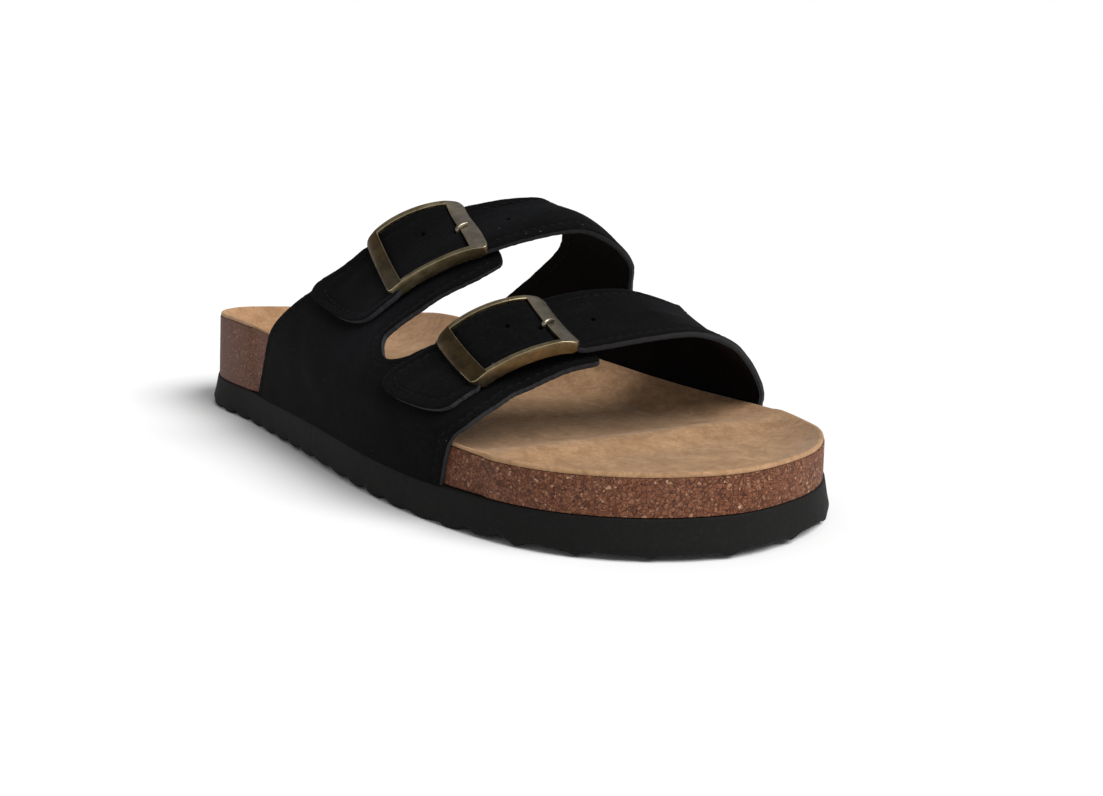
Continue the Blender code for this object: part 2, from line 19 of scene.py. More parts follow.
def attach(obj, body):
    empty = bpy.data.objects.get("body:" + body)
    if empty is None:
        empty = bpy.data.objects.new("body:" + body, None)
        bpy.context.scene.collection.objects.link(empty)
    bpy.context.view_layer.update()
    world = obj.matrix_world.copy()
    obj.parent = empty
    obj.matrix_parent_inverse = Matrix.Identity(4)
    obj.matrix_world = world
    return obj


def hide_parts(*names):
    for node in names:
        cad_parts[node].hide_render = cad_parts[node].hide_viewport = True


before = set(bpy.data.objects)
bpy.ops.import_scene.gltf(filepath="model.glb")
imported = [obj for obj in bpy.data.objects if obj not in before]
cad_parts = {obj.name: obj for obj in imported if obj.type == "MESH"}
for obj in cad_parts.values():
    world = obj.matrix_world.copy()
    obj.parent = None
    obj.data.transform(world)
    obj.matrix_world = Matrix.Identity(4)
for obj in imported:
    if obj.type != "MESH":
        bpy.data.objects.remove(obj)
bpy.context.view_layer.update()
print("frame nodes:", ", ".join(sorted(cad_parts)))

# %% [markdown]
# ## The camera
#
# The picture is taken low from the front, on the outer side of the shoe, so the open toe comes forward
# and both buckles show. The camera could be turned until it looks right, but angles measured from the
# picture are easier to repeat: azimuth and elevation give the direction, and a small roll levels it.

# %% Camera
CAMERA_PLACE = (0.347736, -0.269493, 0.115229)
CAMERA_AZIMUTH = math.radians(48.4287)
CAMERA_ELEVATION = math.radians(12.4954)
CAMERA_ROLL = math.radians(0.1837)
CAMERA_LENS = 44.85

bpy.ops.object.camera_add()
camera = bpy.context.object
camera.data.sensor_fit = "HORIZONTAL"
camera.data.lens = CAMERA_LENS
camera.data.clip_start = 0.01
turn = Matrix.Rotation(CAMERA_AZIMUTH, 4, "Z") @ Matrix.Rotation(math.pi / 2 - CAMERA_ELEVATION, 4, "X")
camera.matrix_world = Matrix.Translation(CAMERA_PLACE) @ turn @ Matrix.Rotation(CAMERA_ROLL, 4, "Z")
bpy.context.scene.camera = camera
print("camera at", [round(c, 3) for c in camera.location])

# %% [markdown]
# ## Sizes of the last
#
# A sandal is built on a last, a wooden foot that every piece follows. The numbers below are its
# millimetres: x runs from heel to toe, y towards the inner side of the foot and z up from the floor.
# The pieces could be traced over the frame's facets, but working from the same few tables as the frame
# lets them be as smooth as they need to be and still have its form.

# %% Sizes and tables
MM = 0.001
ORIGIN = np.array([128.2, 1.4, 0.0])
GAP = 0.3
LEATHER = 2.0
OUTSOLE = 10.7
OUTSOLE_TOP_STEP = 0.5
OUTSOLE_FLARE = 2.0
HEEL_FLARE = 1.4
HEEL_SPREAD = 0.8
HEEL_LEAN = 1.0
HEEL_LIFT = 1.2
HEEL_TILT = 1.9
INSOLE = 1.2
LIP = 1.3
CORK_TUCK = 1.0
WAIST_LIFT = 1.0
TOE_SPRING = 0.6
ARCH_RISE = 7.5
TOE_RIDGE = 2.6
METATARSAL_PAD = 1.6
SECTION_SKEW = 0.40
OUTLINE = [  # x, y
    (-2, -5), (3, -17), (16, -25), (50, -30), (110, -42), (150, -49), (188, -51), (221, -46), (244, -32),
    (258, -11), (259, 12), (253, 29), (240, 43), (206, 54), (165, 45), (110, 36), (50, 39), (18, 30),
    (3, 14),
]
RIM = [  # x, height of the footbed's rim above the outsole
    (-5, 22.0), (25, 23.0), (60, 23.2), (110, 15.5), (165, 15.3), (205, 11.8), (270, 11.8),
]
HOLLOW = [  # x, height of the hollow that the foot lies in
    (-5, 13.0), (40, 12.0), (100, 11.5), (160, 9.0), (205, 7.6), (270, 7.6),
]
RIM_WIDTH = [  # x, width of the slope from the rim to the hollow
    (-5, 21.0), (60, 20.0), (130, 18.0), (205, 13.0), (270, 11.0),
]
CREST_Z = [  # u, height
    (60, 101), (100, 98), (130, 82), (155, 77), (180, 60), (215, 50), (255, 45),
]
CREST_Y = [  # u, y
    (60, 23), (130, 23), (180, 12), (215, 11), (255, 11),
]
OUTER_FULL = (0.34, 0.40)
INNER_BULGE = 2.6
INNER_FULL = [  # u, upright share, level share
    (60, 0.55, 0.45), (130, 0.55, 0.45), (165, 0.35, 0.45), (200, 0.15, 0.40), (255, 0.15, 0.40),
]


def clamp(t):
    """A share, kept between 0 and 1."""
    return np.clip(t, 0.0, 1.0)


def eased(t):
    """A share that starts and ends softly."""
    return t * t * (3 - 2 * t)


def bell(t):
    """1 at 0, falling off softly on both sides."""
    return np.exp(-(t ** 2))


def between(t, first, last, rise_first, rise_last):
    """A smooth step from first to last at a share t, with its steepness at both ends."""
    return (first * (1 + 2 * t) * (1 - t) ** 2 + rise_first * t * (1 - t) ** 2
            + last * eased(t) - rise_last * t * t * (1 - t))


def table(rows, x, column=1):
    """A smooth value from a short table, read at x in its first column."""
    rows = sorted(rows)
    xs = np.array([row[0] for row in rows], float)
    ys = np.array([row[column] for row in rows], float)
    slope = np.gradient(ys, xs)
    step = np.diff(ys) / np.diff(xs)
    for i in range(1, len(xs) - 1):
        if step[i - 1] * step[i] <= 0.0:
            slope[i] = 0.0
    x = np.clip(x, xs[0], xs[-1])
    i = np.clip(np.searchsorted(xs, x) - 1, 0, len(xs) - 2)
    h = xs[i + 1] - xs[i]
    t = (x - xs[i]) / h
    return between(t, ys[i], ys[i + 1], h * slope[i], h * slope[i + 1])


def metres(points):
    """Millimetres on the last to metres in the frame."""
    return (np.asarray(points, float) - ORIGIN) * MM


print("rim at the heel", table(RIM, 0.0).round(1), "mm, at the toe", table(RIM, 255.0).round(1), "mm")

# %% [markdown]
# ## The line of the sole
#
# Seen from above, the sole is one smooth closed curve. Every layer of the sole follows it, moved a
# little in or out, so the curve is worked out once with the direction that points away from it.

# %% Outline of the sole
RING_COUNT = 720
LEATHER_OUTER = (48.0, 200.0)  # x where the leather starts and ends on the sole's outer side
LEATHER_INNER = (86.0, 217.0)  # and on its inner side
TUCK_SOFT = 6.0
HEEL_LENGTH = 40.0


def distances(line):
    """Way along a line up to each of its points."""
    return np.r_[0, np.cumsum(np.linalg.norm(np.diff(line, axis=0), axis=1))]


def smooth_loop(points, count):
    """A smooth closed curve through the points."""
    p = np.array(points, float)
    nodes = np.vstack([p[-2:], p, p[:3]])
    d = distances(nodes)
    slope = (nodes[2:] - nodes[:-2]) / (d[2:] - d[:-2])[:, None]
    at = np.linspace(d[2], d[len(p) + 2], count, endpoint=False)
    i = np.searchsorted(d, at, side="right") - 1
    h = (d[i + 1] - d[i])[:, None]
    t = (at - d[i])[:, None] / h
    return between(t, nodes[i], nodes[i + 1], h * slope[i - 1], h * slope[i])


def band(x, low, high, soft):
    """1 between low and high, 0 beyond, with soft ends."""
    return eased(clamp(np.minimum(x - low, high - x) / soft + 1.0))


ring = smooth_loop(OUTLINE, RING_COUNT)
ring_way = np.roll(ring, -1, axis=0) - np.roll(ring, 1, axis=0)
ring_out = np.c_[ring_way[:, 1], -ring_way[:, 0]] / np.linalg.norm(ring_way, axis=1)[:, None]
cork_tuck = CORK_TUCK * (band(ring[:, 0], *LEATHER_OUTER, TUCK_SOFT) * (ring[:, 1] < 0)
                         + band(ring[:, 0], *LEATHER_INNER, TUCK_SOFT) * (ring[:, 1] > 0))
heel_share = clamp(1.0 - ring[:, 0] / HEEL_LENGTH)


def edges(offset):
    """Outer and inner side lines of the sole, moved out by an offset, which may vary round it."""
    moved = ring + ring_out * np.reshape(offset, (-1, 1))
    moved = np.roll(moved, -moved[:, 0].argmin(), axis=0)
    toe = moved[:, 0].argmax()
    outer = moved[: toe + 1]
    inner = np.vstack([moved[toe:], moved[:1]])[::-1]
    return outer, inner


print("outline", distances(ring)[-1].round(), "mm round")

# %% [markdown]
# ## Heights of the sole
#
# The underside is flat at the heel and at the ball and lifts at the waist and at both ends. The footbed
# is a hollow with a raised rim, an arch on the inner side, a soft pad behind the toes and the grip ridge
# under them. These are plain formulas of x and y, so any layer can ask for its height anywhere.

# %% Heights
WAIST = (45.0, 110.0, 170.0)  # x where the lift at the waist starts, is full and ends
SPRING_START = 205.0
SPRING_LENGTH = 55.0
LIFT_START = 22.0
LIFT_LENGTH = 25.0
LIFT_LIMIT = 1.2
RIM_SIDE = 30.0
TILT_END = 90.0
TILT_LENGTH = 60.0
ARCH_PLACE = 115.0
ARCH_LENGTH = 40.0
HOLLOW_ARCH = 0.45  # share of the arch that the hollow rises by
HOLLOW_SIDE = 40.0
CRISP = 0.85  # how much straighter the inner wall's slope is beside the ball of the foot
CRISP_REACH = (140.0, 196.0)
CRISP_SOFT = 18.0
CRISP_SIDE = 25.0
RIDGE_PLACE = 208.0
RIDGE_SKEW = 0.25
RIDGE_WIDTH = 8.0
RIDGE_INSIDE = 16.0
PAD_PLACE = (152.0, -2.0)
PAD_SIZE = (22.0, 16.0)


def ground(x):
    """Underside of the sole."""
    start, full, end = WAIST
    waist = clamp(np.where(x < full, (x - start) / (full - start), (end - x) / (end - full)))
    toe = np.clip((x - SPRING_START) / SPRING_LENGTH, 0.0, LIFT_LIMIT)
    heel = np.clip((LIFT_START - x) / LIFT_LENGTH, 0.0, LIFT_LIMIT)
    return WAIST_LIFT * eased(waist) + TOE_SPRING * toe * toe + HEEL_LIFT * heel * heel


def arch_rise(x):
    """Rise of the arch on the inner side."""
    return ARCH_RISE * bell((x - ARCH_PLACE) / ARCH_LENGTH)


def rim(x, y):
    """Height of the footbed's edge above the outsole."""
    tilt = HEEL_TILT * np.clip(-y / RIM_SIDE, -1.0, 1.0) * clamp((TILT_END - x) / TILT_LENGTH)
    return table(RIM, x) + arch_rise(x) * clamp(y / RIM_SIDE) + tilt


def to_edge(x, y):
    """Distance from the sole's outline."""
    return np.hypot(x[:, None] - ring[:, 0], y[:, None] - ring[:, 1]).min(axis=1)


def footbed(x, y):
    """Height of the footbed's surface, where the foot lies."""
    away = to_edge(x, y)
    crisp = CRISP * clamp(y / CRISP_SIDE) * band(x, *CRISP_REACH, CRISP_SOFT)
    slope = clamp(1.0 - (away - LIP) / table(RIM_WIDTH, x)) ** (2.0 - crisp)
    hollow = table(HOLLOW, x) + HOLLOW_ARCH * arch_rise(x) * clamp(y / HOLLOW_SIDE)
    ridge = bell((x - RIDGE_PLACE - RIDGE_SKEW * y) / RIDGE_WIDTH)
    ridge = TOE_RIDGE * ridge * clamp(away / RIDGE_INSIDE)
    pad = bell((x - PAD_PLACE[0]) / PAD_SIZE[0]) * bell((y - PAD_PLACE[1]) / PAD_SIZE[1])
    pad = METATARSAL_PAD * pad
    top = np.maximum(rim(x, y), hollow)
    return ground(x) + OUTSOLE + hollow + (top - hollow) * slope + ridge + pad


# %% [markdown]
# ## Small modelling helpers
#
# Every operator works on what is selected, and the loaded frame starts out selected. So each new piece
# begins by deselecting everything, and the steps that come back for every piece have a short name.

# %% Helpers for modelling
def clear_selection():
    """Leaves edit mode with nothing selected."""
    if bpy.context.mode != "OBJECT":
        bpy.ops.object.mode_set(mode="OBJECT")
    bpy.ops.object.select_all(action="DESELECT")


def pick(*pieces):
    """Selects these pieces, the first one active."""
    clear_selection()
    for piece in pieces:
        piece.select_set(True)
    bpy.context.view_layer.objects.active = pieces[0]
    return pieces[0]


def finish_with(piece, kind, **settings):
    """Adds a modifier and applies it."""
    pick(piece)
    modifier = piece.modifiers.new(kind.title(), kind)
    for name, value in settings.items():
        setattr(modifier, name, value)
    bpy.ops.object.modifier_apply(modifier=modifier.name)


def cut(piece, operation, cutter):
    """A Boolean with a cutter."""
    finish_with(piece, "BOOLEAN", operation=operation, solver="EXACT", object=cutter)


def unit_grid(name, columns, rows):
    """A flat grid of size 1 with this many faces along x and y."""
    clear_selection()
    bpy.ops.mesh.primitive_grid_add(x_subdivisions=columns, y_subdivisions=rows, size=1.0)
    bpy.context.object.name = name
    return bpy.context.object


def edit_all(piece):
    """Enters edit mode with the whole piece selected."""
    pick(piece)
    bpy.ops.object.mode_set(mode="EDIT")
    bpy.ops.mesh.select_all(action="SELECT")


def leave_edit():
    """Returns from edit mode."""
    bpy.ops.object.mode_set(mode="OBJECT")


def pull(height):
    """Extrudes what is selected straight up or down."""
    bpy.ops.mesh.extrude_region_move(TRANSFORM_OT_translate={"value": (0.0, 0.0, height)})


def weld(piece, distance):
    """Merges points closer than a distance in millimetres."""
    edit_all(piece)
    bpy.ops.mesh.remove_doubles(threshold=distance * MM)
    leave_edit()


def smooth(piece, degrees):
    """Smooth shading, with edges sharper than an angle kept crisp."""
    pick(piece)
    bpy.ops.object.shade_smooth_by_angle(angle=math.radians(degrees))


def choose_faces(piece, wanted):
    """Enters edit mode with only these faces selected."""
    pick(piece)
    bpy.context.tool_settings.mesh_select_mode = (False, False, True)
    for parts in (piece.data.vertices, piece.data.edges):
        parts.foreach_set("select", [False] * len(parts))
    piece.data.polygons.foreach_set("select", wanted)
    bpy.ops.object.mode_set(mode="EDIT")


def points_of(piece):
    """The piece's points as an array of rows."""
    places = np.empty(len(piece.data.vertices) * 3)
    piece.data.vertices.foreach_get("co", places)
    return places.reshape(-1, 3)


def move_points(piece, places):
    """Puts the piece's points at these places."""
    piece.data.vertices.foreach_set("co", np.ascontiguousarray(places, float).ravel())
    piece.data.update()


def belongs(piece, slot, *nodes):
    """The finished piece rides on the sandal and may stand for solids. Its slot argument is not used."""
    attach(piece, "root")
    if nodes:
        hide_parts(*nodes)
    print(piece.name, "has", len(piece.data.polygons), "faces")


# %% [markdown]
# ## Helpers for materials
#
# A material here is a Principled shader with a few textures in front of it. All textures read the
# object's own coordinates, which are metres, so a noise of scale 1000 has grains about a millimetre
# wide. The helpers make a node and join it in one line, which keeps each material short to read.

# %% Helpers for materials
class Look:
    """A material whose nodes are added by short calls."""

    def __init__(self, name, **sockets):
        self.material = bpy.data.materials.new(name)
        self.material.use_nodes = True
        self.tree = self.material.node_tree
        self.shader = self.tree.nodes["Principled BSDF"]
        self.place = self.tree.nodes.new("ShaderNodeTexCoord").outputs["Object"]
        for socket, value in sockets.items():
            self.shader.inputs[socket.replace("_", " ")].default_value = value

    def node(self, kind, values, **settings):
        """A node with its inputs set to numbers or joined to other outputs."""
        made = self.tree.nodes.new("ShaderNode" + kind)
        for name, value in settings.items():
            setattr(made, name, value)
        for socket, value in values.items():
            if isinstance(value, bpy.types.NodeSocket):
                self.tree.links.new(value, made.inputs[socket])
            else:
                made.inputs[socket].default_value = value
        return made

    def channel(self, kind, value, number):
        """One channel of a colour, or one coordinate of a place."""
        return self.node("Separate" + kind, {0: value}).outputs[number]

    def stretched(self, scale, turn=(0.0, 0.0, 0.0)):
        """Coordinates turned and stretched along their axes."""
        return self.node("Mapping", {"Vector": self.place, "Scale": scale, "Rotation": turn}).outputs[0]

    def noise(self, scale, detail=2.0, rough=0.5, warp=0.0, at=None):
        """Cloudy noise from 0 to 1."""
        return self.node("TexNoise", {"Vector": at or self.place, "Scale": scale, "Detail": detail,
                                      "Roughness": rough, "Distortion": warp}).outputs["Fac"]

    def cells(self, scale, feature="F1", at=None):
        """A cell pattern, such as grains pressed together."""
        return self.node("TexVoronoi", {"Vector": at or self.place, "Scale": scale}, feature=feature)

    def ramp(self, value, stops):
        """Colours or greys along a value: stops are (place, grey or colour)."""
        made = self.node("ValToRGB", {"Fac": value})
        steps = made.color_ramp.elements
        while len(steps) < len(stops):
            steps.new(0.5)
        for step, (place, shade) in zip(steps, stops):
            step.position = place
            step.color = (*(shade if isinstance(shade, tuple) else (shade,) * 3), 1.0)
        return made.outputs["Color"]

    def mix(self, share, first, second, blend="MIX"):
        """Two colours mixed. A Mix node has its factor and colours at inputs 0, 6 and 7."""
        first, second = ((*value, 1.0) if isinstance(value, tuple) else value for value in (first, second))
        made = self.node("Mix", {0: share, 6: first, 7: second}, data_type="RGBA", blend_type=blend)
        return made.outputs[2]

    def times(self, value, factor):
        """A value multiplied by a number."""
        return self.node("Math", {0: value, 1: factor}, operation="MULTIPLY").outputs[0]

    def bump(self, height, depth, under=None):
        """A relief of a depth in millimetres, on top of another one if it is given."""
        values = {"Height": height, "Distance": depth * MM}
        if under:
            values["Normal"] = under
        return self.node("Bump", values).outputs["Normal"]

    def join(self, **outputs):
        """Joins finished values to the shader."""
        for socket, value in outputs.items():
            self.tree.links.new(value, self.shader.inputs[socket.replace("_", " ")])
        return self.material


# %% [markdown]
# ## Finishes of the sole
#
# Three layers show on the side. The outsole is foam rubber: black, matt and a little grainy from its
# mould. The cork is pressed from reddish-brown granules of one or two millimetres, with tan and nearly
# black crumbs between them. The lining of the footbed is beige suede, whose nap lies in lighter and
# darker patches. Painted pictures would do this too, but patterns worked out from the place on the
# piece have no seams and no end.

# %% Foam rubber
def foam_rubber():
    look = Look("foam_rubber", Roughness=0.74, Specular_IOR_Level=0.10)
    clouds = look.noise(45.0, 3.0)
    dust = look.ramp(look.noise(900.0, 4.0, 0.65), [(0.50, 0.0), (0.78, 1.0)])
    shade = look.mix(clouds, (0.0065, 0.0062, 0.0060), (0.0105, 0.0100, 0.0096))
    shade = look.mix(look.times(dust, 0.14), shade, (0.040, 0.038, 0.036))
    grain = look.bump(look.noise(1700.0, 3.0, 0.6), 0.05)
    return look.join(Base_Color=shade, Normal=look.bump(look.noise(260.0, 2.0), 0.10, grain))


# %% Pressed cork
def pressed_cork():
    look = Look("pressed_cork", Roughness=0.66, Specular_IOR_Level=0.20)
    wobble = look.node("TexNoise", {"Vector": look.place, "Scale": 420.0, "Detail": 2.0}).outputs["Color"]
    place = look.node("Mix", {0: 0.0012, 4: look.place, 5: wobble}, data_type="VECTOR").outputs[1]
    grain = look.cells(820.0, at=place)
    crumbs = look.cells(1700.0, at=place)
    seams = look.cells(820.0, "DISTANCE_TO_EDGE", at=place).outputs["Distance"]
    pick_grain = look.channel("Color", grain.outputs["Color"], 0)
    pick_crumb = look.channel("Color", crumbs.outputs["Color"], 1)
    browns = look.ramp(pick_grain, [
        (0.00, (0.055, 0.018, 0.009)), (0.22, (0.115, 0.037, 0.016)), (0.55, (0.160, 0.056, 0.026)),
        (0.80, (0.190, 0.072, 0.035)), (0.94, (0.240, 0.105, 0.055)), (1.00, (0.390, 0.215, 0.125)),
    ])
    bits = look.ramp(pick_crumb, [
        (0.00, (0.040, 0.013, 0.007)), (0.20, (0.105, 0.033, 0.014)), (0.65, (0.165, 0.060, 0.027)),
        (0.92, (0.220, 0.092, 0.045)), (1.00, (0.450, 0.270, 0.170)),
    ])
    shade = look.mix(look.ramp(look.noise(700.0, 1.0), [(0.40, 0.0), (0.60, 1.0)]), browns, bits)
    joint = look.ramp(seams, [(0.00, 0.0), (0.09, 1.0)])
    shade = look.mix(joint, look.mix(0.55, shade, (0.035, 0.012, 0.007)), shade)
    bloom = look.ramp(look.noise(38.0, 2.0), [(0.40, 0.0), (0.75, 0.22)])
    shade = look.mix(bloom, shade, (0.180, 0.090, 0.066))
    # Painted reflection: towards the heel the cork is mixed to a greyer brown, which stands for the sheen of
    # the white surroundings on its side.
    painted_sheen_to_heel = look.times(look.channel("XYZ", look.place, 0), -7.5)
    shade = look.mix(look.ramp(painted_sheen_to_heel, [(0.45, 0.0), (0.80, 0.55)]), shade, (0.150, 0.080, 0.064))
    low = look.bump(joint, 0.16)
    return look.join(Base_Color=shade, Normal=look.bump(pick_grain, 0.10, low))


# %% Footbed suede
def footbed_suede():
    look = Look("footbed_suede", Roughness=0.93, Specular_IOR_Level=0.12, Sheen_Weight=0.22,
                Sheen_Roughness=0.45, Sheen_Tint=(1.0, 0.86, 0.70, 1.0))
    brushed = look.stretched((1.0, 1.7, 1.0), (0.0, 0.0, 0.5))
    patches = look.ramp(look.noise(52.0, 4.0, 0.62, 0.6, brushed), [(0.36, 0.0), (0.64, 1.0)])
    nap = look.noise(560.0, 5.0, 0.75, 0.3)
    tufts = look.noise(190.0, 4.0, 0.7, 0.5)
    fibres = look.noise(2100.0, 2.0, 0.6)
    shade = look.mix(patches, (0.330, 0.182, 0.090), (0.450, 0.264, 0.138))
    low_nap = look.mix(0.62, shade, (0.180, 0.090, 0.040))
    shade = look.mix(look.ramp(nap, [(0.36, 0.0), (0.62, 1.0)]), low_nap, shade)
    worn = look.mix(0.50, shade, (0.210, 0.106, 0.047))
    fresh = look.mix(0.08, shade, (0.62, 0.42, 0.26))
    shade = look.mix(look.ramp(tufts, [(0.38, 0.0), (0.56, 1.0)]), worn, fresh)
    shade = look.mix(look.times(fibres, 0.22), shade, (0.590, 0.392, 0.236))
    fine = look.bump(fibres, 0.10)
    return look.join(Base_Color=shade, Normal=look.bump(nap, 0.22, fine))


sole_looks = {"outsole": foam_rubber(), "cork": pressed_cork(), "insole": footbed_suede()}
print("sole finishes:", ", ".join(look.name for look in sole_looks.values()))

# %% [markdown]
# ## Layers of the sole
#
# Outsole, cork and lining are all slabs with the sole's outline. Each starts as a flat grid, which is
# extruded upwards once for every layer of its profile, as one would pull a face up by hand. Its points
# are then moved to the layer's outline and height. Cutting the outline from a block would work as well,
# but a grid keeps its faces in rows from heel to toe, which shade evenly.

# %% Slab with the sole's outline
EDGE_CROWDING = 0.6
SLAB_WELD = 0.02


def closer_at_ends(shares):
    """Shares from 0 to 1, moved closer together at both ends."""
    return 0.5 - 0.5 * np.cos(math.pi * shares)


def sole_slab(name, layers, rows, columns, look):
    """A closed slab through layers of the sole, from the bottom up. Each layer is (offset, height)."""
    slab = unit_grid(name, rows, columns)
    edit_all(slab)
    for _ in layers[1:]:
        pull(1.0)
    leave_edit()
    flat = points_of(slab)
    along = closer_at_ends(flat[:, 0] + 0.5)
    across = flat[:, 1] + 0.5
    across += EDGE_CROWDING * (closer_at_ends(across) - across)
    level = np.rint(flat[:, 2]).astype(int)
    placed = np.empty_like(flat)
    for number, (offset, height) in enumerate(layers):
        outer, inner = edges(offset)
        mine = level == number
        x = outer[0, 0] + (outer[-1, 0] - outer[0, 0]) * along[mine]
        y0 = np.interp(x, outer[:, 0], outer[:, 1])
        y1 = np.interp(x, inner[:, 0], inner[:, 1])
        y = y0 + (y1 - y0) * across[mine]
        placed[mine] = np.c_[x, y, height(x, y)]
    move_points(slab, metres(placed))
    weld(slab, SLAB_WELD)
    slab.data.materials.append(look)
    return slab


# %% [markdown]
# ## The cork body
#
# The cork is drawn in where the leather runs down over its side, so that the leather lies nearly flush.
# Round the heel its wall leans inwards a little, and its top edge is rounded, as cork is after sanding.

# %% Cork body
CORK_ROWS = 170
CORK_COLUMNS = 12
CORK_ROUND = 0.6
GLUE = 0.05

cork_top = -cork_tuck - HEEL_LEAN * heel_share
cork = sole_slab("cork_body", [
    (HEEL_SPREAD * heel_share - cork_tuck, lambda x, y: ground(x) + OUTSOLE + GAP),
    (cork_top, lambda x, y: footbed(x, y) - INSOLE - CORK_ROUND),
    (cork_top - 0.25 * CORK_ROUND, lambda x, y: footbed(x, y) - INSOLE - 0.35 * CORK_ROUND),
    (cork_top - CORK_ROUND, lambda x, y: footbed(x, y) - INSOLE - GLUE),
], CORK_ROWS, CORK_COLUMNS, sole_looks["cork"])
smooth(cork, 40)
belongs(cork, "cork", "cork_footbed")

# %% [markdown]
# ## The footbed lining
#
# A sheet of suede is glued over the cork and trimmed flush with its edge. It is not perfectly flat: it
# creases softly where it was pressed into the hollows, mostly round the grip ridge under the toes. The
# creases are listed one by one, as troughs and ridges with a length, a width and a depth.

# %% Footbed lining
INSOLE_ROWS = 190
INSOLE_COLUMNS = 72
TRIM = 0.40
TRIM_ROUND = 0.15
TRIM_TOP = 0.35
CREASE_BEND = 0.012
CREASE_EDGE = 2.0
CREASE_SOFT = 6.0
FOOTBED_CREASES = [  # x, y, turn in degrees from the shoe's axis, half length, half width, rise in mm
    (214.0, 14.0, 62.0, 17.0, 1.5, -0.32),
    (219.0, -4.0, 78.0, 15.0, 1.8, -0.26),
    (226.0, 24.0, 40.0, 13.0, 1.4, -0.24),
    (232.0, 2.0, 84.0, 16.0, 2.4, 0.22),
    (196.0, -20.0, 70.0, 14.0, 2.0, -0.28),
    (201.0, 26.0, 55.0, 12.0, 1.6, -0.24),
    (176.0, 4.0, 84.0, 20.0, 2.4, -0.22),
    (120.0, 12.0, 25.0, 22.0, 3.0, -0.20),
    (70.0, -6.0, 80.0, 14.0, 2.6, -0.20),
    (40.0, 8.0, 60.0, 12.0, 2.2, -0.16),
    (158.0, 36.0, -10.0, 13.0, 1.7, -0.75),
    (181.0, 31.5, -13.0, 13.0, 1.7, -0.75),
]


def creases(rows, x, y):
    """Soft troughs and ridges on a sheet."""
    rise = np.zeros_like(x)
    for at_x, at_y, turn, length, width, height in rows:
        c, s = math.cos(math.radians(turn)), math.sin(math.radians(turn))
        along = (x - at_x) * c + (y - at_y) * s
        across = (y - at_y) * c - (x - at_x) * s
        bent = across - CREASE_BEND * along * along
        rise += height * bell(along / length) * bell(bent / width)
    return rise


def footbed_top(x, y):
    """The lining's surface with its creases, which die out at the trimmed edge."""
    calm = clamp((to_edge(x, y) - CREASE_EDGE) / CREASE_SOFT)
    return footbed(x, y) + creases(FOOTBED_CREASES, x, y) * calm


insole = sole_slab("footbed_lining", [
    (cork_top - TRIM, lambda x, y: footbed(x, y) - INSOLE),
    (cork_top - TRIM + TRIM_ROUND, lambda x, y: footbed(x, y) - 0.70 * INSOLE),
    (cork_top - TRIM, lambda x, y: footbed(x, y) - 0.30 * INSOLE),
    (cork_top - TRIM - TRIM_TOP, footbed_top),
], INSOLE_ROWS, INSOLE_COLUMNS, sole_looks["insole"])
smooth(insole, 60)
belongs(insole, "insole_suede", "insole")

# %% [markdown]
# ## The outsole
#
# The foam outsole flares a little towards the floor, where its edge is rounded. Its underside is a row
# of soft lugs, which show on the side as a wavy lower edge. At the toe this edge rises between a few
# small lugs, and two faint mould lines run up the outer side. Zigzag channels cross the underside. They
# are cut by one cutter with a Boolean, which gives crisp mould edges, and they stop short of the side.

# %% Outsole slab
OUTSOLE_ROWS = 440
OUTSOLE_COLUMNS = 6
TREAD_PITCH = 12.6
TREAD_START = 8.0
SCALLOP = 0.7
SCALLOP_RISE = 1.0
SCALLOP_CHANGE = 0.25
SCALLOP_WAVE = 0.61
SCALLOP_FADE = (268.0, 60.0, 0.3)  # x where the notches would end, length of the fade, least share
TOE_CENTRE = 190.0
TOE_EDGE = 1.5
TOE_EDGE_WIDTH = 5.0
TOE_EDGE_START = 25.0
TOE_LUGS = np.linspace(-1.1, 0.4, 6)
TOE_LUG_SIZE = 0.035
TOE_LUG_SHARE = 0.75
FOOT_ROUND = 0.6
FOOT_ROUND_UP = 0.15
FOOT_STEP = 0.5
FOAM_WIDEST = 2.6
FOAM_ROUND = 0.4
MOULD_LINES = (106.0, 171.0)
MOULD_DEPTH = 0.3
MOULD_WIDTH = 0.55


def scallop(x):
    """1 in the notches between the lugs, some deeper than others, and 0 on the lugs."""
    end, length, least = SCALLOP_FADE
    turn = math.pi * (x - TREAD_START) / TREAD_PITCH
    depth = 1.0 - SCALLOP_CHANGE + SCALLOP_CHANGE * np.sin(SCALLOP_WAVE * x)
    return np.cos(turn) ** 4 * depth * np.clip((end - x) / length, least, 1.0)


def toe_edge(x, y):
    """Rise of the toe's lower edge, less where a small lug reaches it."""
    angle = np.arctan2(y, x - TOE_CENTRE)
    lugs = sum(bell((angle - lug) / TOE_LUG_SIZE) for lug in TOE_LUGS)
    near = clamp((x - TOE_CENTRE) / TOE_EDGE_START) * bell(to_edge(x, y) / TOE_EDGE_WIDTH)
    return TOE_EDGE * near * (1.0 - TOE_LUG_SHARE * clamp(lugs))


def foam_foot(x, y):
    """The outsole's underside with its wavy edge."""
    return ground(x) + SCALLOP_RISE * scallop(x) + toe_edge(x, y)


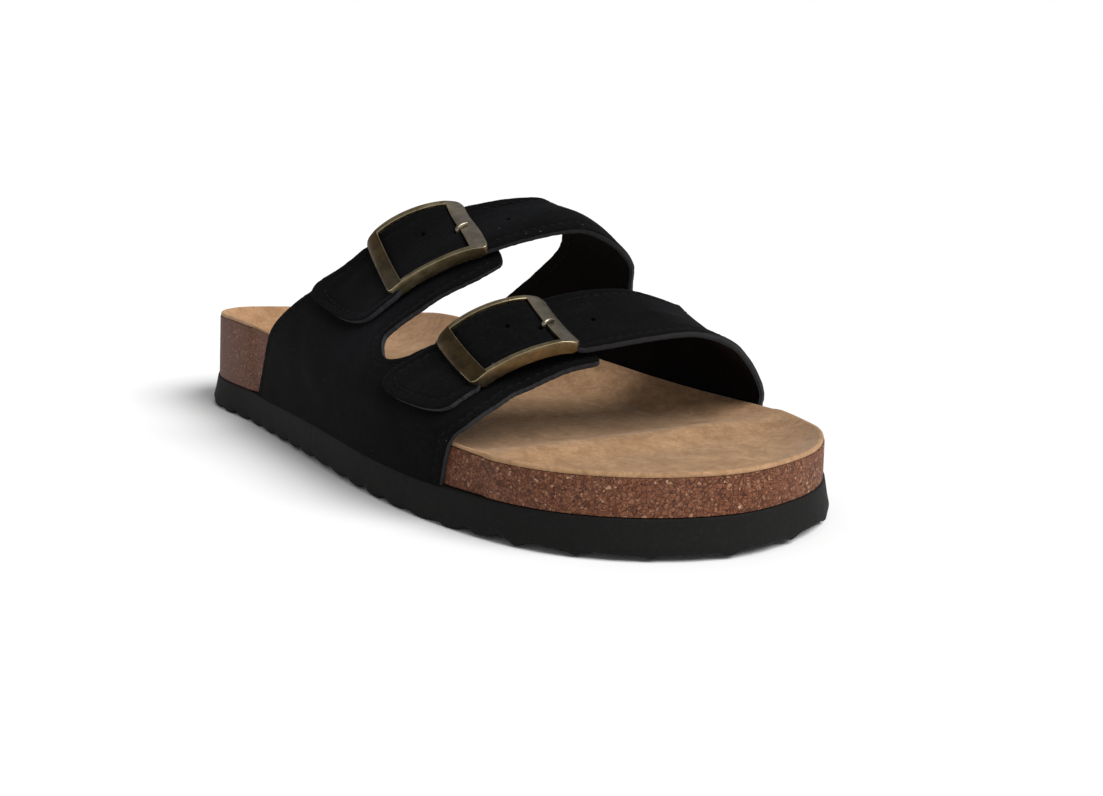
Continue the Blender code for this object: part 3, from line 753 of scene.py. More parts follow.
notch = scallop(ring[:, 0])
foam_edge = OUTSOLE_FLARE + HEEL_FLARE * heel_share
foam_top = OUTSOLE_TOP_STEP + HEEL_SPREAD * heel_share
for line in MOULD_LINES:
    foam_top = foam_top - MOULD_DEPTH * bell((ring[:, 0] - line) / MOULD_WIDTH) * (ring[:, 1] < 0)
outsole = sole_slab("outsole_moulded", [
    (foam_edge - FOOT_ROUND - SCALLOP * notch, foam_foot),
    (foam_edge - FOOT_ROUND_UP - 0.5 * SCALLOP * notch, lambda x, y: foam_foot(x, y) + FOOT_STEP),
    (foam_edge, lambda x, y: ground(x) + FOAM_WIDEST),
    (0.65 * foam_edge + 0.35 * foam_top, lambda x, y: ground(x) + 0.45 * OUTSOLE),
    (foam_top, lambda x, y: ground(x) + OUTSOLE - FOAM_ROUND),
    (foam_top - FOAM_ROUND, lambda x, y: ground(x) + OUTSOLE),
], OUTSOLE_ROWS, OUTSOLE_COLUMNS, sole_looks["outsole"])

# %% Tread channels
TREAD_END = 256.0
TREAD_STEPS = 12
TREAD_STEP = 10.0
TREAD_WAVE = 3.6
TREAD_MARGIN = 2.5
TREAD_BELOW = 1.0
LIMIT_ROWS = 60
LIMIT_COLUMNS = 2
LIMIT_HEIGHTS = (-2.0, 5.0)
CHANNELS = [  # shift from the pitch, widths at the mouth and the roof, depth
    (0.0, 4.8, 1.8, 2.2),
    (0.5 * TREAD_PITCH, 4.0, 1.2, 1.2),
]


def tread_channel(x, mouth, roof, depth):
    """One zigzag channel across the underside, as a closed cutter."""
    channel = unit_grid("tread_channel", 1, TREAD_STEPS)
    edit_all(channel)
    pull(1.0)
    bpy.ops.mesh.select_all(action="SELECT")
    bpy.ops.mesh.normals_make_consistent(inside=False)
    leave_edit()
    flat = points_of(channel)
    step = np.rint((flat[:, 1] + 0.5) * TREAD_STEPS).astype(int)
    top = flat[:, 2] > 0.5
    at = x + flat[:, 0] * np.where(top, roof, mouth) + TREAD_WAVE * np.where(step % 2, 0.5, -0.5)
    height = ground(at) + np.where(top, depth, -TREAD_BELOW)
    move_points(channel, metres(np.c_[at, TREAD_STEP * (step - TREAD_STEPS / 2), height]))
    return channel


channels = []
for shift, mouth, roof, depth in CHANNELS:
    for x in np.arange(TREAD_START + shift, TREAD_END, TREAD_PITCH):
        channels.append(tread_channel(x, mouth, roof, depth))
tread = pick(*channels)
bpy.ops.object.join()
limit = sole_slab("tread_limit", [
    (-TREAD_MARGIN, lambda x, y: ground(x) + LIMIT_HEIGHTS[0]),
    (-TREAD_MARGIN, lambda x, y: ground(x) + LIMIT_HEIGHTS[1]),
], LIMIT_ROWS, LIMIT_COLUMNS, sole_looks["outsole"])
cut(tread, "INTERSECT", limit)
cut(outsole, "DIFFERENCE", tread)
bpy.data.objects.remove(tread)
bpy.data.objects.remove(limit)
smooth(outsole, 32)
belongs(outsole, "outsole_foam", "outsole")

# %% [markdown]
# ## The surface of the last
#
# The straps lie on the last, so they need its surface. Each cross-section starts as an upright wall at
# the sole and bends over the instep in two curves that meet at the crest. A place on the last is then
# given by u, the section along the foot, and v, the share of the way round it from the inner side to
# the outer. The sections are worked out once on a fine net and read from it afterwards.

# %% Sections of the last
LAST_U = np.arange(40.0, 236.0, 0.5)
LAST_V = np.linspace(0.0, 1.0, 401)
INSTEP = slice(140, 340)  # the sections from u 110 to 210
FLANK_POINTS = 65
FLANK_START = 0.5
OUTER_LINE, INNER_LINE = edges(GAP + LEATHER / 2 - CORK_TUCK)


def foot_line(u, line):
    """y where the skewed section u meets a side line of the sole."""
    return float(np.interp(u, line[:, 0] - SECTION_SKEW * line[:, 1], line[:, 1]))


def section(u):
    """One cross-section of the upper as points from the inner foot over the crest to the outer."""
    crest = np.array([table(CREST_Y, u), table(CREST_Z, u)])
    t = np.linspace(0, 1, FLANK_POINTS)[:, None]
    flanks = []
    inner = (table(INNER_FULL, u, 1), table(INNER_FULL, u, 2))
    sides = ((INNER_LINE, inner, INNER_BULGE), (OUTER_LINE, OUTER_FULL, 0.0))
    for line, (upright, level), bulge in sides:
        y = foot_line(u, line)
        x = u + SECTION_SKEW * y
        floor = float(ground(np.float64(x))) + OUTSOLE + GAP
        edge = floor + float(rim(np.float64(x), np.float64(y))) + FLANK_START
        hull = np.array([(y, edge), (y + bulge, edge + upright * (crest[1] - edge)),
                         (crest[0] + level * (y - crest[0]), crest[1]), crest])
        curve = ((1 - t) ** 3 * hull[0] + 3 * t * (1 - t) ** 2 * hull[1]
                 + 3 * t * t * (1 - t) * hull[2] + t ** 3 * hull[3])
        flanks.append(np.vstack([[(y, floor)], curve]))
    yz = np.vstack([flanks[0], flanks[1][-2::-1]])
    return np.c_[u + SECTION_SKEW * yz[:, 0], yz]


def read_line(way, line, at):
    """Rows of a line's values at distances along it."""
    return np.stack([np.interp(at, way, column) for column in line.T], axis=1)


def evenly(line, shares):
    """Points at shares of the way along a line, and its length."""
    way = distances(line)
    return read_line(way, line, shares * way[-1]), way[-1]


sections = [evenly(section(u), LAST_V) for u in LAST_U]
LAST = np.array([points for points, _ in sections])
GIRTH = float(np.mean([length for _, length in sections[INSTEP]]))
LAST_OUT = np.cross(np.gradient(LAST, axis=1), np.gradient(LAST, axis=0))
LAST_OUT /= np.linalg.norm(LAST_OUT, axis=2, keepdims=True)


def on_last(u, v, lift):
    """Points on the last, raised by lift along its outward direction."""
    i = np.clip((u - LAST_U[0]) / (LAST_U[1] - LAST_U[0]), 0, len(LAST_U) - 1.001)
    j = np.clip(v * (len(LAST_V) - 1), 0, len(LAST_V) - 1.001)
    i0, j0 = i.astype(int), j.astype(int)
    a, b = (i - i0)[..., None], (j - j0)[..., None]
    found = []
    for net in (LAST, LAST_OUT):
        found.append((net[i0, j0] * (1 - a) + net[i0 + 1, j0] * a) * (1 - b)
                     + (net[i0, j0 + 1] * (1 - a) + net[i0 + 1, j0 + 1] * a) * b)
    return found[0] + found[1] * np.asarray(lift)[..., None]


print("girth of the last over the instep", round(GIRTH), "mm")

# %% [markdown]
# ## The patterns of the upper
#
# A pattern cutter draws each strap as two edge lines. Here a line is a short table: the share of the way
# round the last, and where the rear and front edge lie there. The inner half of the upper forks into two
# straps, and the outer half into two arms that carry the buckles. Each fork ends in a round gap.

# %% Edge lines of straps and arms
REAR_STRAP = [  # v, rear edge u, front edge u
    (0.00, 77, 156), (0.11, 83, 152), (0.21, 107, 147), (0.30, 124, 156), (0.40, 130, 160),
    (0.53, 125, 159), (0.62, 119, 155), (0.69, 114, 149), (0.74, 111, 146), (0.81, 100, 142),
]
FRONT_STRAP = [  # v, rear edge u, front edge u
    (0.00, 156, 188), (0.11, 157, 190), (0.21, 164, 200), (0.30, 178, 211), (0.40, 183, 215),
    (0.55, 181, 213), (0.70, 179, 206), (0.80, 176, 205), (0.88, 174, 207),
]
REAR_ARM = [  # v, rear edge u, front edge u
    (1.00, 66, 164), (0.94, 74, 164), (0.89, 81, 162), (0.84, 92, 160), (0.80, 100, 155),
    (0.71, 112, 157), (0.61, 120, 161), (0.56, 123, 161),
]
FRONT_ARM = [  # v, rear edge u, front edge u
    (1.00, 164, 207), (0.93, 164, 210), (0.87, 168, 214), (0.81, 171, 213), (0.75, 174, 211),
    (0.66, 178, 211), (0.58, 182, 214),
]
INNER_FORK = (0.165, 156.0, 0.030)  # v of the gap's round end, its u, and the length of the rounding
OUTER_FORK = (0.831, 164.5, 0.032)
TAB_ROUND = 0.042
ARM_ROUND = 0.026
ARM_LIFT = [  # v, depth of the outer half below the last's surface
    (0.50, -3.8), (0.72, -3.8), (0.78, -2.7), (0.905, 0.0), (1.0, 0.0),
]
BUCKLES = {  # lateral rear, medial rear, medial front and lateral front corner as (u, v)
    "rear": ((114.3, 0.687), (124.8, 0.528), (157.7, 0.583), (144.3, 0.741)),
    "front": ((178.4, 0.763), (182.5, 0.571), (209.9, 0.609), (204.4, 0.802)),
}
BOWS = {"rear": (4.1, 0.3), "front": (4.3, 2.2)}  # rise of the buckle at its rear and front side bar
Strap = namedtuple("Strap", "lines fork gap_side tip buckle")
HALVES = {
    "medial": (Strap(REAR_STRAP, INNER_FORK, 1, TAB_ROUND, "rear"),
               Strap(FRONT_STRAP, INNER_FORK, 0, TAB_ROUND, "front")),
    "lateral": (Strap(REAR_ARM, OUTER_FORK, 1, ARM_ROUND, None),
                Strap(FRONT_ARM, OUTER_FORK, 0, ARM_ROUND, None)),
}

# %% [markdown]
# ## How the straps lie
#
# A strap rests on the last, bows up through its buckle and ends on the outer half, which lies a leather's
# thickness lower. Between the side bars of the buckle it is drawn in. Knife-cut suede is never quite
# straight, so every edge wanders by a tenth of a millimetre.

# %% Lift and edges of the leather
FRAME_BAR = 1.5
TAB_GAP = 0.3
STRAP_PUFF = 1.1
PUFF_REACH = (0.22, 0.78)  # share of the buckle where the puff starts and ends
PUFF_SOFT = 0.12
TAIL_START = 0.6
ARCH_SKEW = 0.45
ARCH_POWER = 0.75
SLIM_SOFT = 0.040
EDGE_WANDER = 0.11
WANDER_WAVES = (1.9, 0.53)
PROBE = 0.004
STEEP_LIMIT = 2.0
TIP_REACH = 2.5
TIP_POWER = 3.2


def arch(buckle, p, q):
    """Arch of a buckle along the strap, at a share p from its outer end and q from its rear side."""
    rear, front = BOWS[buckle]
    p = clamp(p)
    height = (rear + (front - rear) * q) * (4 * p * (1 - p)) ** ARCH_POWER
    return height * (1.0 + ARCH_SKEW * q * (p - 0.5))


def strap_share(buckle, v, s):
    """Where a place on the strap lies in its buckle: 0 at the buckle's outer end and 1 at its inner end."""
    rear_out, rear_in, front_in, front_out = BUCKLES[buckle]
    outer = rear_out[1] + (front_out[1] - rear_out[1]) * s
    inner = rear_in[1] + (front_in[1] - rear_in[1]) * s
    return (outer - v) / (outer - inner)


def strap_lift(buckle, v, s):
    """Height of a strap over the last, or of an arm where no buckle is named."""
    if not buckle:
        return table(ARM_LIFT, v)
    p = strap_share(buckle, v, s)
    tail = np.where(v > TAIL_START, np.maximum(0.0, table(ARM_LIFT, v) + LEATHER + TAB_GAP), 0.0)
    return tail + arch(buckle, p, s) + STRAP_PUFF * band(p, *PUFF_REACH, PUFF_SOFT)


def slimmed(buckle, side, v, u, inset):
    """An edge of the strap, drawn in between the side bars of its buckle."""
    rear_out, rear_in, front_in, front_out = BUCKLES[buckle]
    (u_in, v_in), (u_out, v_out) = ((rear_in, rear_out), (front_in, front_out))[side]
    bar = u_in + (u_out - u_in) * (v - v_in) / (v_out - v_in)
    drawn = (FRAME_BAR + 2 * GAP + inset) * (1 - 2 * side)
    return u + (bar + drawn - u) * band(v, v_in + SLIM_SOFT, v_out - SLIM_SOFT, SLIM_SOFT)


def way_of(strap):
    """1 where v grows from the strap's foot to its tip, and -1 where it falls."""
    return math.copysign(1.0, strap.lines[-1][0] - strap.lines[0][0])


def fork_start(strap, inset):
    """v where the gap of the fork begins, drawn in by inset."""
    return strap.fork[0] - way_of(strap) * inset / GIRTH


def tip_of(strap, inset):
    """v of the strap's end, drawn in by inset."""
    return strap.lines[-1][0] - way_of(strap) * inset / GIRTH


def edge_lines(strap, v, inset):
    """u of the rear and front edge at v, drawn in by inset millimetres."""
    _, fork_u, fork_round = strap.fork
    fast, slow = (v * GIRTH * wave for wave in WANDER_WAVES)
    found = []
    for side in (0, 1):
        before, u, after = (table(strap.lines, v + step, side + 1) for step in (-PROBE, 0.0, PROBE))
        steep = np.hypot(1.0, (after - before) / (2 * PROBE * GIRTH))
        u = u + inset * (1 - 2 * side) * np.minimum(steep, STEEP_LIMIT)
        u = u + EDGE_WANDER * np.sin(fast + side) * np.sin(slow + 2.0 * side + fork_u)
        if side == strap.gap_side:
            grown = way_of(strap) * (v - fork_start(strap, inset)) / (fork_round + inset / GIRTH)
            u = u + (fork_u - u) * (1.0 - np.sqrt(1.0 - (1.0 - clamp(grown)) ** 2))
        found.append(slimmed(strap.buckle, side, v, u, inset) if strap.buckle else u)
    return found


def strap_spot(strap, v, s, inset, end):
    """u and v for a row v and a share s across it, with the tip rounded off."""
    rounding = way_of(strap) * strap.tip
    near = end - rounding * TIP_REACH
    share = clamp((v - near) / (end - near))
    bow = 1.0 - (1.0 - np.abs(2 * s - 1) ** TIP_POWER) ** (1 / TIP_POWER)
    v = v - rounding * bow * share
    rear, front = edge_lines(strap, v, inset)
    return rear + (front - rear) * s, v


# %% [markdown]
# ## A net over each strap
#
# The leather starts as a flat grid that is bent onto the last. Rows and columns stand close together
# along the edges, where the leather rolls off and the seam runs, and further apart in between. The two
# straps of a half share their rows down to the fork, so they can be joined and merged into one hide.

# %% Grid of one strap
EDGE_STEPS = np.array([0.0, 0.15, 0.35, 0.6, 1.0, 1.5, 2.0, 2.5, 3.0, 3.5, 4.2, 5.2])
INNER_COLUMNS = 17
FORK_ROWS = 18
GAP_ROWS = 15
STRAP_ROWS = 84


def strap_rows(strap, inset):
    """Rows from the foot of the upper to the strap's tip, as v."""
    way = way_of(strap)
    start = fork_start(strap, inset)
    foot = np.linspace(strap.lines[0][0], start, FORK_ROWS)
    turns = 1 - np.cos(np.linspace(0.0, math.pi / 2, GAP_ROWS)[1:])
    bend = start + way * (strap.fork[2] + inset / GIRTH) * turns
    close = tip_of(strap, inset) - way * EDGE_STEPS[::-1] / GIRTH
    return np.concatenate([foot, bend, np.linspace(bend[-1], close[0], STRAP_ROWS)[1:-1], close])


def strap_net(strap, inset):
    """u, v and the share across for every point of the strap's grid."""
    v = strap_rows(strap, inset)[:, None]
    rear, front = edge_lines(strap, v, inset)
    low = EDGE_STEPS / (front - rear)
    high = 1.0 - low[:, ::-1]
    inner = np.linspace(0.0, 1.0, INNER_COLUMNS)[1:-1]
    s = np.hstack([low, low[:, -1:] + (high[:, :1] - low[:, -1:]) * inner, high])
    u, v = strap_spot(strap, v, s, inset, tip_of(strap, inset))
    return u, v, s


def strap_grid(name, places):
    """A grid primitive with its points at the given places, one row after another."""
    rows, columns = places.shape[:2]
    grid = unit_grid(name, columns - 1, rows - 1)
    move_points(grid, metres(places).reshape(-1, 3))
    return grid


# %% [markdown]
# ## Seam lines
#
# A single row of stitches runs three millimetres inside every free edge: up one side of a strap, round
# its tip, down into the fork and up the next. The same edge lines, drawn in by that distance, give its
# path. The path is also what the leather sinks towards, so thread and trough agree.

# %% Paths along the edges
STITCH_INSET = 3.0
PATH_STEPS = 500
PATH_POWER = 1.5
TIP_STEPS = 160


def edge_path(strap, inset, lift):
    """Points along the free edge of a strap, drawn in by inset, and their v and share across."""
    end = tip_of(strap, inset)
    sides = []
    for side in (0, 1):
        low = fork_start(strap, inset) if side == strap.gap_side else strap.lines[0][0]
        v = low + (end - low) * np.sin(np.linspace(0.0, math.pi / 2, PATH_STEPS)) ** PATH_POWER
        s = np.full(PATH_STEPS, float(side))
        sides.append((*strap_spot(strap, v, s, inset, end), s))
    s = closer_at_ends(np.linspace(0.0, 1.0, TIP_STEPS))
    tip = (*strap_spot(strap, np.full(TIP_STEPS, end), s, inset, end), s)
    rear, front = sides
    u, v, s = (np.concatenate([up, over, down[::-1]]) for up, over, down in zip(rear, tip, front))
    return on_last(u, v, strap_lift(strap.buckle, v, s) + lift), v, s


def tree_of(points):
    """A search tree over points."""
    tree = KDTree(len(points))
    for number, point in enumerate(points):
        tree.insert(point, number)
    tree.balance()
    return tree


def nearness(tree, points):
    """Distance from each point to the nearest one in a tree."""
    return np.array([tree.find(point)[2] for point in points])


# %% [markdown]
# ## Relief of the leather
#
# Up close the suede is not an even sheet. Its cut edge rolls off, the seam pulls a shallow trough, the
# punched holes are dented, and a worn strap keeps soft creases where it bends over the foot and where it
# goes through the buckle. The creases are placed one by one on the pattern.

# %% Relief
EDGE_ROLL = 0.34
EDGE_ROLL_WIDTH = 0.8
SEAM_TROUGH = 0.20
SEAM_WIDTH = 0.75
HOLE_RADIUS = 0.80
HOLE_DENT = 0.35
HOLE_DENT_WIDTH = 1.2
CALM_WIDTH = 4.0
CALM_LEAST = 0.25
HOLES = {  # prong hole and adjusting holes of each strap, as (u, v)
    "rear": ((142.3, 0.591), (131.9, 0.622), (145.1, 0.510)),
    "front": ((198.1, 0.635), (192.2, 0.673), (197.2, 0.534)),
}
STRAP_CREASES = [  # u, v, turn from the shoe's axis, half length, half width, rise
    (140.0, 0.300, 84.0, 16.0, 3.2, -0.45),
    (147.0, 0.268, 80.0, 12.0, 2.6, -0.40),
    (150.0, 0.345, 96.0, 14.0, 4.0, 0.35),
    (132.0, 0.470, 92.0, 12.0, 3.0, -0.30),
    (196.0, 0.320, 84.0, 15.0, 3.4, -0.45),
    (203.0, 0.270, 78.0, 12.0, 2.8, -0.40),
    (200.0, 0.400, 94.0, 14.0, 4.2, 0.32),
    (188.0, 0.530, 92.0, 12.0, 3.0, -0.26),
    (118.0, 0.745, 96.0, 12.0, 3.0, -0.35),
    (186.0, 0.838, 96.0, 12.0, 3.0, -0.35),
    (120.0, 0.180, 60.0, 18.0, 4.5, -0.35),
    (172.0, 0.120, 95.0, 12.0, 4.0, -0.30),
]
QUARTER_CREASES = [  # u, v, turn from the shoe's axis, half length, half width, rise
    (110.0, 0.880, 62.0, 20.0, 5.0, -0.40),
    (128.0, 0.905, 55.0, 22.0, 6.0, 0.35),
    (150.0, 0.850, 70.0, 14.0, 4.0, -0.35),
    (188.0, 0.900, 60.0, 16.0, 5.0, -0.35),
    (140.0, 0.700, 86.0, 14.0, 3.4, -0.25),
    (196.0, 0.745, 86.0, 12.0, 3.2, -0.25),
]


def uneven(points):
    """Slow swells of a hide, of about a tenth of a millimetre."""
    x, y, z = np.moveaxis(points, -1, 0)
    return (0.07 * np.sin(0.23 * x + 0.31 * z + 1.0) * np.sin(0.19 * y - 0.27 * z)
            + 0.04 * np.sin(0.61 * x - 0.47 * y + 0.3) * np.sin(0.53 * z + 0.37 * x))


def relief(half, strap, u, v, mid, edge_tree, seam_tree):
    """Rise of the leather's outer side over its even surface."""
    flat = mid.reshape(-1, 3)
    to_cut = nearness(edge_tree, flat).reshape(u.shape)
    to_seam = nearness(seam_tree, flat).reshape(u.shape)
    rise = -EDGE_ROLL * clamp(1.0 - to_cut / EDGE_ROLL_WIDTH) ** 2
    rise -= SEAM_TROUGH * bell(to_seam / SEAM_WIDTH)
    calm = np.clip(to_cut / CALM_WIDTH, CALM_LEAST, 1.0)
    rows = STRAP_CREASES if half == "medial" else QUARTER_CREASES
    turned = [(at_u, at_v * GIRTH, *rest) for at_u, at_v, *rest in rows]
    rise += (creases(turned, u, v * GIRTH) + uneven(mid)) * calm
    for hole_u, hole_v in HOLES.get(strap.buckle, ()):
        away = np.hypot(u - hole_u, (v - hole_v) * GIRTH)
        rise -= HOLE_DENT * bell(away / HOLE_DENT_WIDTH)
    return rise


# %% [markdown]
# ## Finishes of the upper
#
# Black suede swallows light, so what shows is its nap: a soft sheen, faint patches where a hand brushed
# it, and a few pale specks of dust. The cut edge is a little greyer because the dye does not reach the
# middle of the hide. The lining is a thin, brownish black leather, and the thread is black polyester.

# %% Black suede
def black_suede():
    look = Look("black_suede", Roughness=0.94, Specular_IOR_Level=0.05, Sheen_Weight=0.02,
                Sheen_Roughness=0.40, Sheen_Tint=(0.80, 0.85, 1.0, 1.0))
    patches = look.ramp(look.noise(75.0, 3.0, 0.6, 0.5), [(0.35, 0.0), (0.68, 1.0)])
    nap = look.noise(900.0, 4.0, 0.72, 0.3)
    fuzz = look.noise(2600.0, 2.0, 0.6)
    shade = look.mix(patches, (0.0020, 0.0020, 0.0022), (0.0033, 0.0033, 0.0036))
    shade = look.mix(look.ramp(nap, [(0.52, 0.0), (0.80, 0.75)]), shade, (0.0095, 0.0095, 0.0102))
    spots = look.cells(420.0)
    rare = look.channel("Color", spots.outputs["Color"], 0)
    small = look.ramp(spots.outputs["Distance"], [(0.05, 1.0), (0.11, 0.0)])
    dust = look.mix(1.0, small, look.ramp(rare, [(0.955, 0.0), (0.965, 0.55)]), "MULTIPLY")
    shade = look.mix(dust, shade, (0.150, 0.148, 0.145))
    low = look.bump(nap, 0.22)
    return look.join(Base_Color=shade, Normal=look.bump(fuzz, 0.12, low))


# %% Cut edge, lining and thread
def cut_edge():
    look = Look("cut_edge", Roughness=0.88, Specular_IOR_Level=0.2)
    layers = look.noise(700.0, 4.0, 0.7, 0.3)
    shade = look.mix(layers, (0.0105, 0.0105, 0.0116), (0.0340, 0.0340, 0.0375))
    return look.join(Base_Color=shade, Normal=look.bump(look.noise(1600.0, 3.0), 0.14))


def lining_leather():
    look = Look("lining_leather", Roughness=0.84, Specular_IOR_Level=0.08)
    clouds = look.noise(90.0, 3.0)
    shade = look.mix(clouds, (0.0024, 0.0021, 0.0021), (0.0055, 0.0047, 0.0046))
    pores = look.cells(1500.0, "DISTANCE_TO_EDGE").outputs["Distance"]
    return look.join(Base_Color=shade, Normal=look.bump(look.ramp(pores, [(0.0, 0.0), (0.2, 1.0)]), 0.05))


def black_thread():
    look = Look("black_thread", Roughness=0.70, Specular_IOR_Level=0.12)
    strands = look.noise(2400.0, 2.0)
    shade = look.mix(strands, (0.0018, 0.0018, 0.0019), (0.0058, 0.0058, 0.0061))
    return look.join(Base_Color=shade, Normal=look.bump(strands, 0.06))


upper_looks = {"suede": black_suede(), "edge": cut_edge(), "lining": lining_leather(),
               "thread": black_thread()}
print("upper finishes:", ", ".join(look.name for look in upper_looks.values()))

# %% [markdown]
# ## The suede and its lining
#
# Each half of the upper is two layers sewn together. The suede is the outer one, just over a millimetre
# thick. The lining lies below it and is trimmed a little shorter, which leaves the fine step that shows
# on the cut edge. Both are open sheets that Solidify gives their thickness, with other materials on the
# rim. Solidify moves points along their normals, which are uncertain in the tight corners of a tab, so
# the inner points are then set from the last itself. The punched holes are cut with one Boolean.

# %% Layers of the upper
SUEDE = 1.15
LINING = 0.78
LINING_INSET = 0.28
SHEET_WELD = 0.04


def layer(half, name, inset, top, thickness, looks, trees=None):
    """One layer of a half: its straps joined at the fork and given a thickness."""
    grids, outside, inside = [], [], []
    for strap in HALVES[half]:
        u, v, s = strap_net(strap, inset)
        lift = strap_lift(strap.buckle, v, s)
        if trees:
            lift = lift + relief(half, strap, u, v, on_last(u, v, lift), *trees)
        outside.append(on_last(u, v, lift + top))
        inside.append(on_last(u, v, lift + top - thickness))
        grids.append(strap_grid(name, outside[-1]))
    sheet = pick(*grids)
    bpy.ops.object.join()
    weld(sheet, SHEET_WELD)
    if half == "medial":
        edit_all(sheet)
        bpy.ops.mesh.flip_normals()
        leave_edit()
    for look in looks:
        sheet.data.materials.append(look)
    finish_with(sheet, "SOLIDIFY", thickness=thickness * MM, offset=-1.0, material_offset=1,
                material_offset_rim=2)
    outer, inner = (metres(np.vstack([net.reshape(-1, 3) for net in nets])) for nets in (outside, inside))
    nearest = tree_of(outer)
    places = points_of(sheet)
    count = len(places) // 2
    places[count:] = inner[[nearest.find(place)[1] for place in places[:count]]]
    move_points(sheet, places)
    return sheet


uppers = {}
for half in HALVES:
    seams = np.vstack([edge_path(strap, STITCH_INSET, 0.0)[0] for strap in HALVES[half]])
    cuts = np.vstack([edge_path(strap, 0.0, 0.0)[0] for strap in HALVES[half]])
    suede_looks = (upper_looks["suede"], upper_looks["edge"], upper_looks["edge"])
    lining_looks = (upper_looks["edge"], upper_looks["lining"], upper_looks["edge"])
    uppers[half] = (
        layer(half, "suede_" + half, 0.0, LEATHER / 2, SUEDE, suede_looks, (tree_of(cuts), tree_of(seams))),
        layer(half, "lining_" + half, LINING_INSET, LINING - LEATHER / 2, LINING, lining_looks),
    )
    print(half, "half: seam of", round(distances(seams)[-1]), "mm")

# %% Punched holes
PUNCH_SIDES = 20
PUNCH_DEPTH = 12.0
PUNCH_LIFTS = (0.0, 3.0)

punches = []
for spots in HOLES.values():
    for u, v in spots:
        low, high = (Vector(metres(on_last(np.array(u), np.array(v), lift))) for lift in PUNCH_LIFTS)
        clear_selection()
        bpy.ops.mesh.primitive_cylinder_add(
            vertices=PUNCH_SIDES, radius=HOLE_RADIUS * MM, depth=PUNCH_DEPTH * MM, location=(low + high) / 2,
            rotation=(high - low).to_track_quat("Z", "Y").to_euler())
        punches.append(bpy.context.object)
punch = pick(*punches)
bpy.ops.object.join()
for sheet in uppers["medial"]:
    cut(sheet, "DIFFERENCE", punch)
bpy.data.objects.remove(punch)
for half, sheets in uppers.items():
    for sheet in sheets:
        smooth(sheet, 50)
        belongs(sheet, "upper_suede", "upper_" + half)

# %% [markdown]
# ## The stitches
#
# A lock stitch shows as a row of short threads that dip into the leather at both ends. One stitch is
# modelled from a small sphere, stretched and bent, and copied along the seam. It has only a few dozen
# faces, because there are hundreds of them on both sides of the leather.

# %% One stitch
STITCH_PITCH = 2.9
STITCH_LENGTH = 2.3
THREAD = 0.26
THREAD_SIDES = 7
THREAD_RINGS = 6
STITCH_DIP = 0.26
STITCH_STOP = 0.12
STITCH_FLOOR = 2.5
STITCH_PROBE = 0.4
STITCH_PROUD = {1: 0.05 - SEAM_TROUGH, -1: 0.02}  # rise over the leather's outer and inner side

clear_selection()
bpy.ops.mesh.primitive_uv_sphere_add(segments=THREAD_SIDES, ring_count=THREAD_RINGS, radius=0.5)
stitch = bpy.context.object
shape = points_of(stitch)
shape = np.c_[shape[:, 2] * STITCH_LENGTH, shape[:, 0] * 2 * THREAD, shape[:, 1] * 2 * THREAD]
shape[:, 2] -= STITCH_DIP * (2 * shape[:, 0] / STITCH_LENGTH) ** 2
stitch_faces = [list(face.vertices) for face in stitch.data.polygons]
bpy.data.objects.remove(stitch)


def stitch_places(strap, side):
    """Middle, direction and outward direction of each stitch on the outer (1) or inner (-1) side."""
    depth = LEATHER / 2 + STITCH_PROUD[side]
    path, v, s = edge_path(strap, STITCH_INSET, side * depth)
    inside = edge_path(strap, STITCH_INSET, side * (depth - 1.0))[0]
    way = distances(path)
    at = np.arange(STITCH_PITCH / 2, way[-1], STITCH_PITCH)
    middle = read_line(way, path, at)
    ahead = read_line(way, path, at + STITCH_PROBE) - read_line(way, path, at - STITCH_PROBE)
    up = read_line(way, path - inside, at)
    clear = middle[:, 2] > ground(middle[:, 0]) + OUTSOLE + STITCH_FLOOR
    if strap.buckle:
        share = strap_share(strap.buckle, np.interp(at, way, v), np.interp(at, way, s))
        clear &= np.abs(share - 0.5) > 0.5 + STITCH_STOP
    return middle[clear], ahead[clear], up[clear]


# %% Rows of stitches
def stitch_row(half):
    """All the stitches of a half as one piece."""
    places, faces = [], []
    for strap in HALVES[half]:
        for side in (1, -1):
            for middle, ahead, up in zip(*stitch_places(strap, side)):
                ahead = ahead / np.linalg.norm(ahead)
                across = np.cross(up, ahead)
                across /= np.linalg.norm(across)
                first = len(places) * len(shape)
                places.append(middle + shape @ np.array([ahead, across, np.cross(ahead, across)]))
                faces += [[first + corner for corner in face] for face in stitch_faces]
    mesh = bpy.data.meshes.new("stitches_" + half)
    mesh.from_pydata(metres(np.vstack(places)).tolist(), [], faces)
    row = bpy.data.objects.new("stitches_" + half, mesh)
    bpy.context.scene.collection.objects.link(row)
    mesh.materials.append(upper_looks["thread"])
    print(len(places), "stitches")
    return row


for half in HALVES:
    row = stitch_row(half)
    smooth(row, 80)
    belongs(row, "upper_suede")

# %% [markdown]
# ## Antique brass
#
# The buckles are cast frames with an antique finish: a brown, slightly olive patina that is rubbed off
# on the edges, where paler brass shows. The bevel that rounds the edges can give its new faces another
# material, so the worn edge is exactly where a hand would rub it.

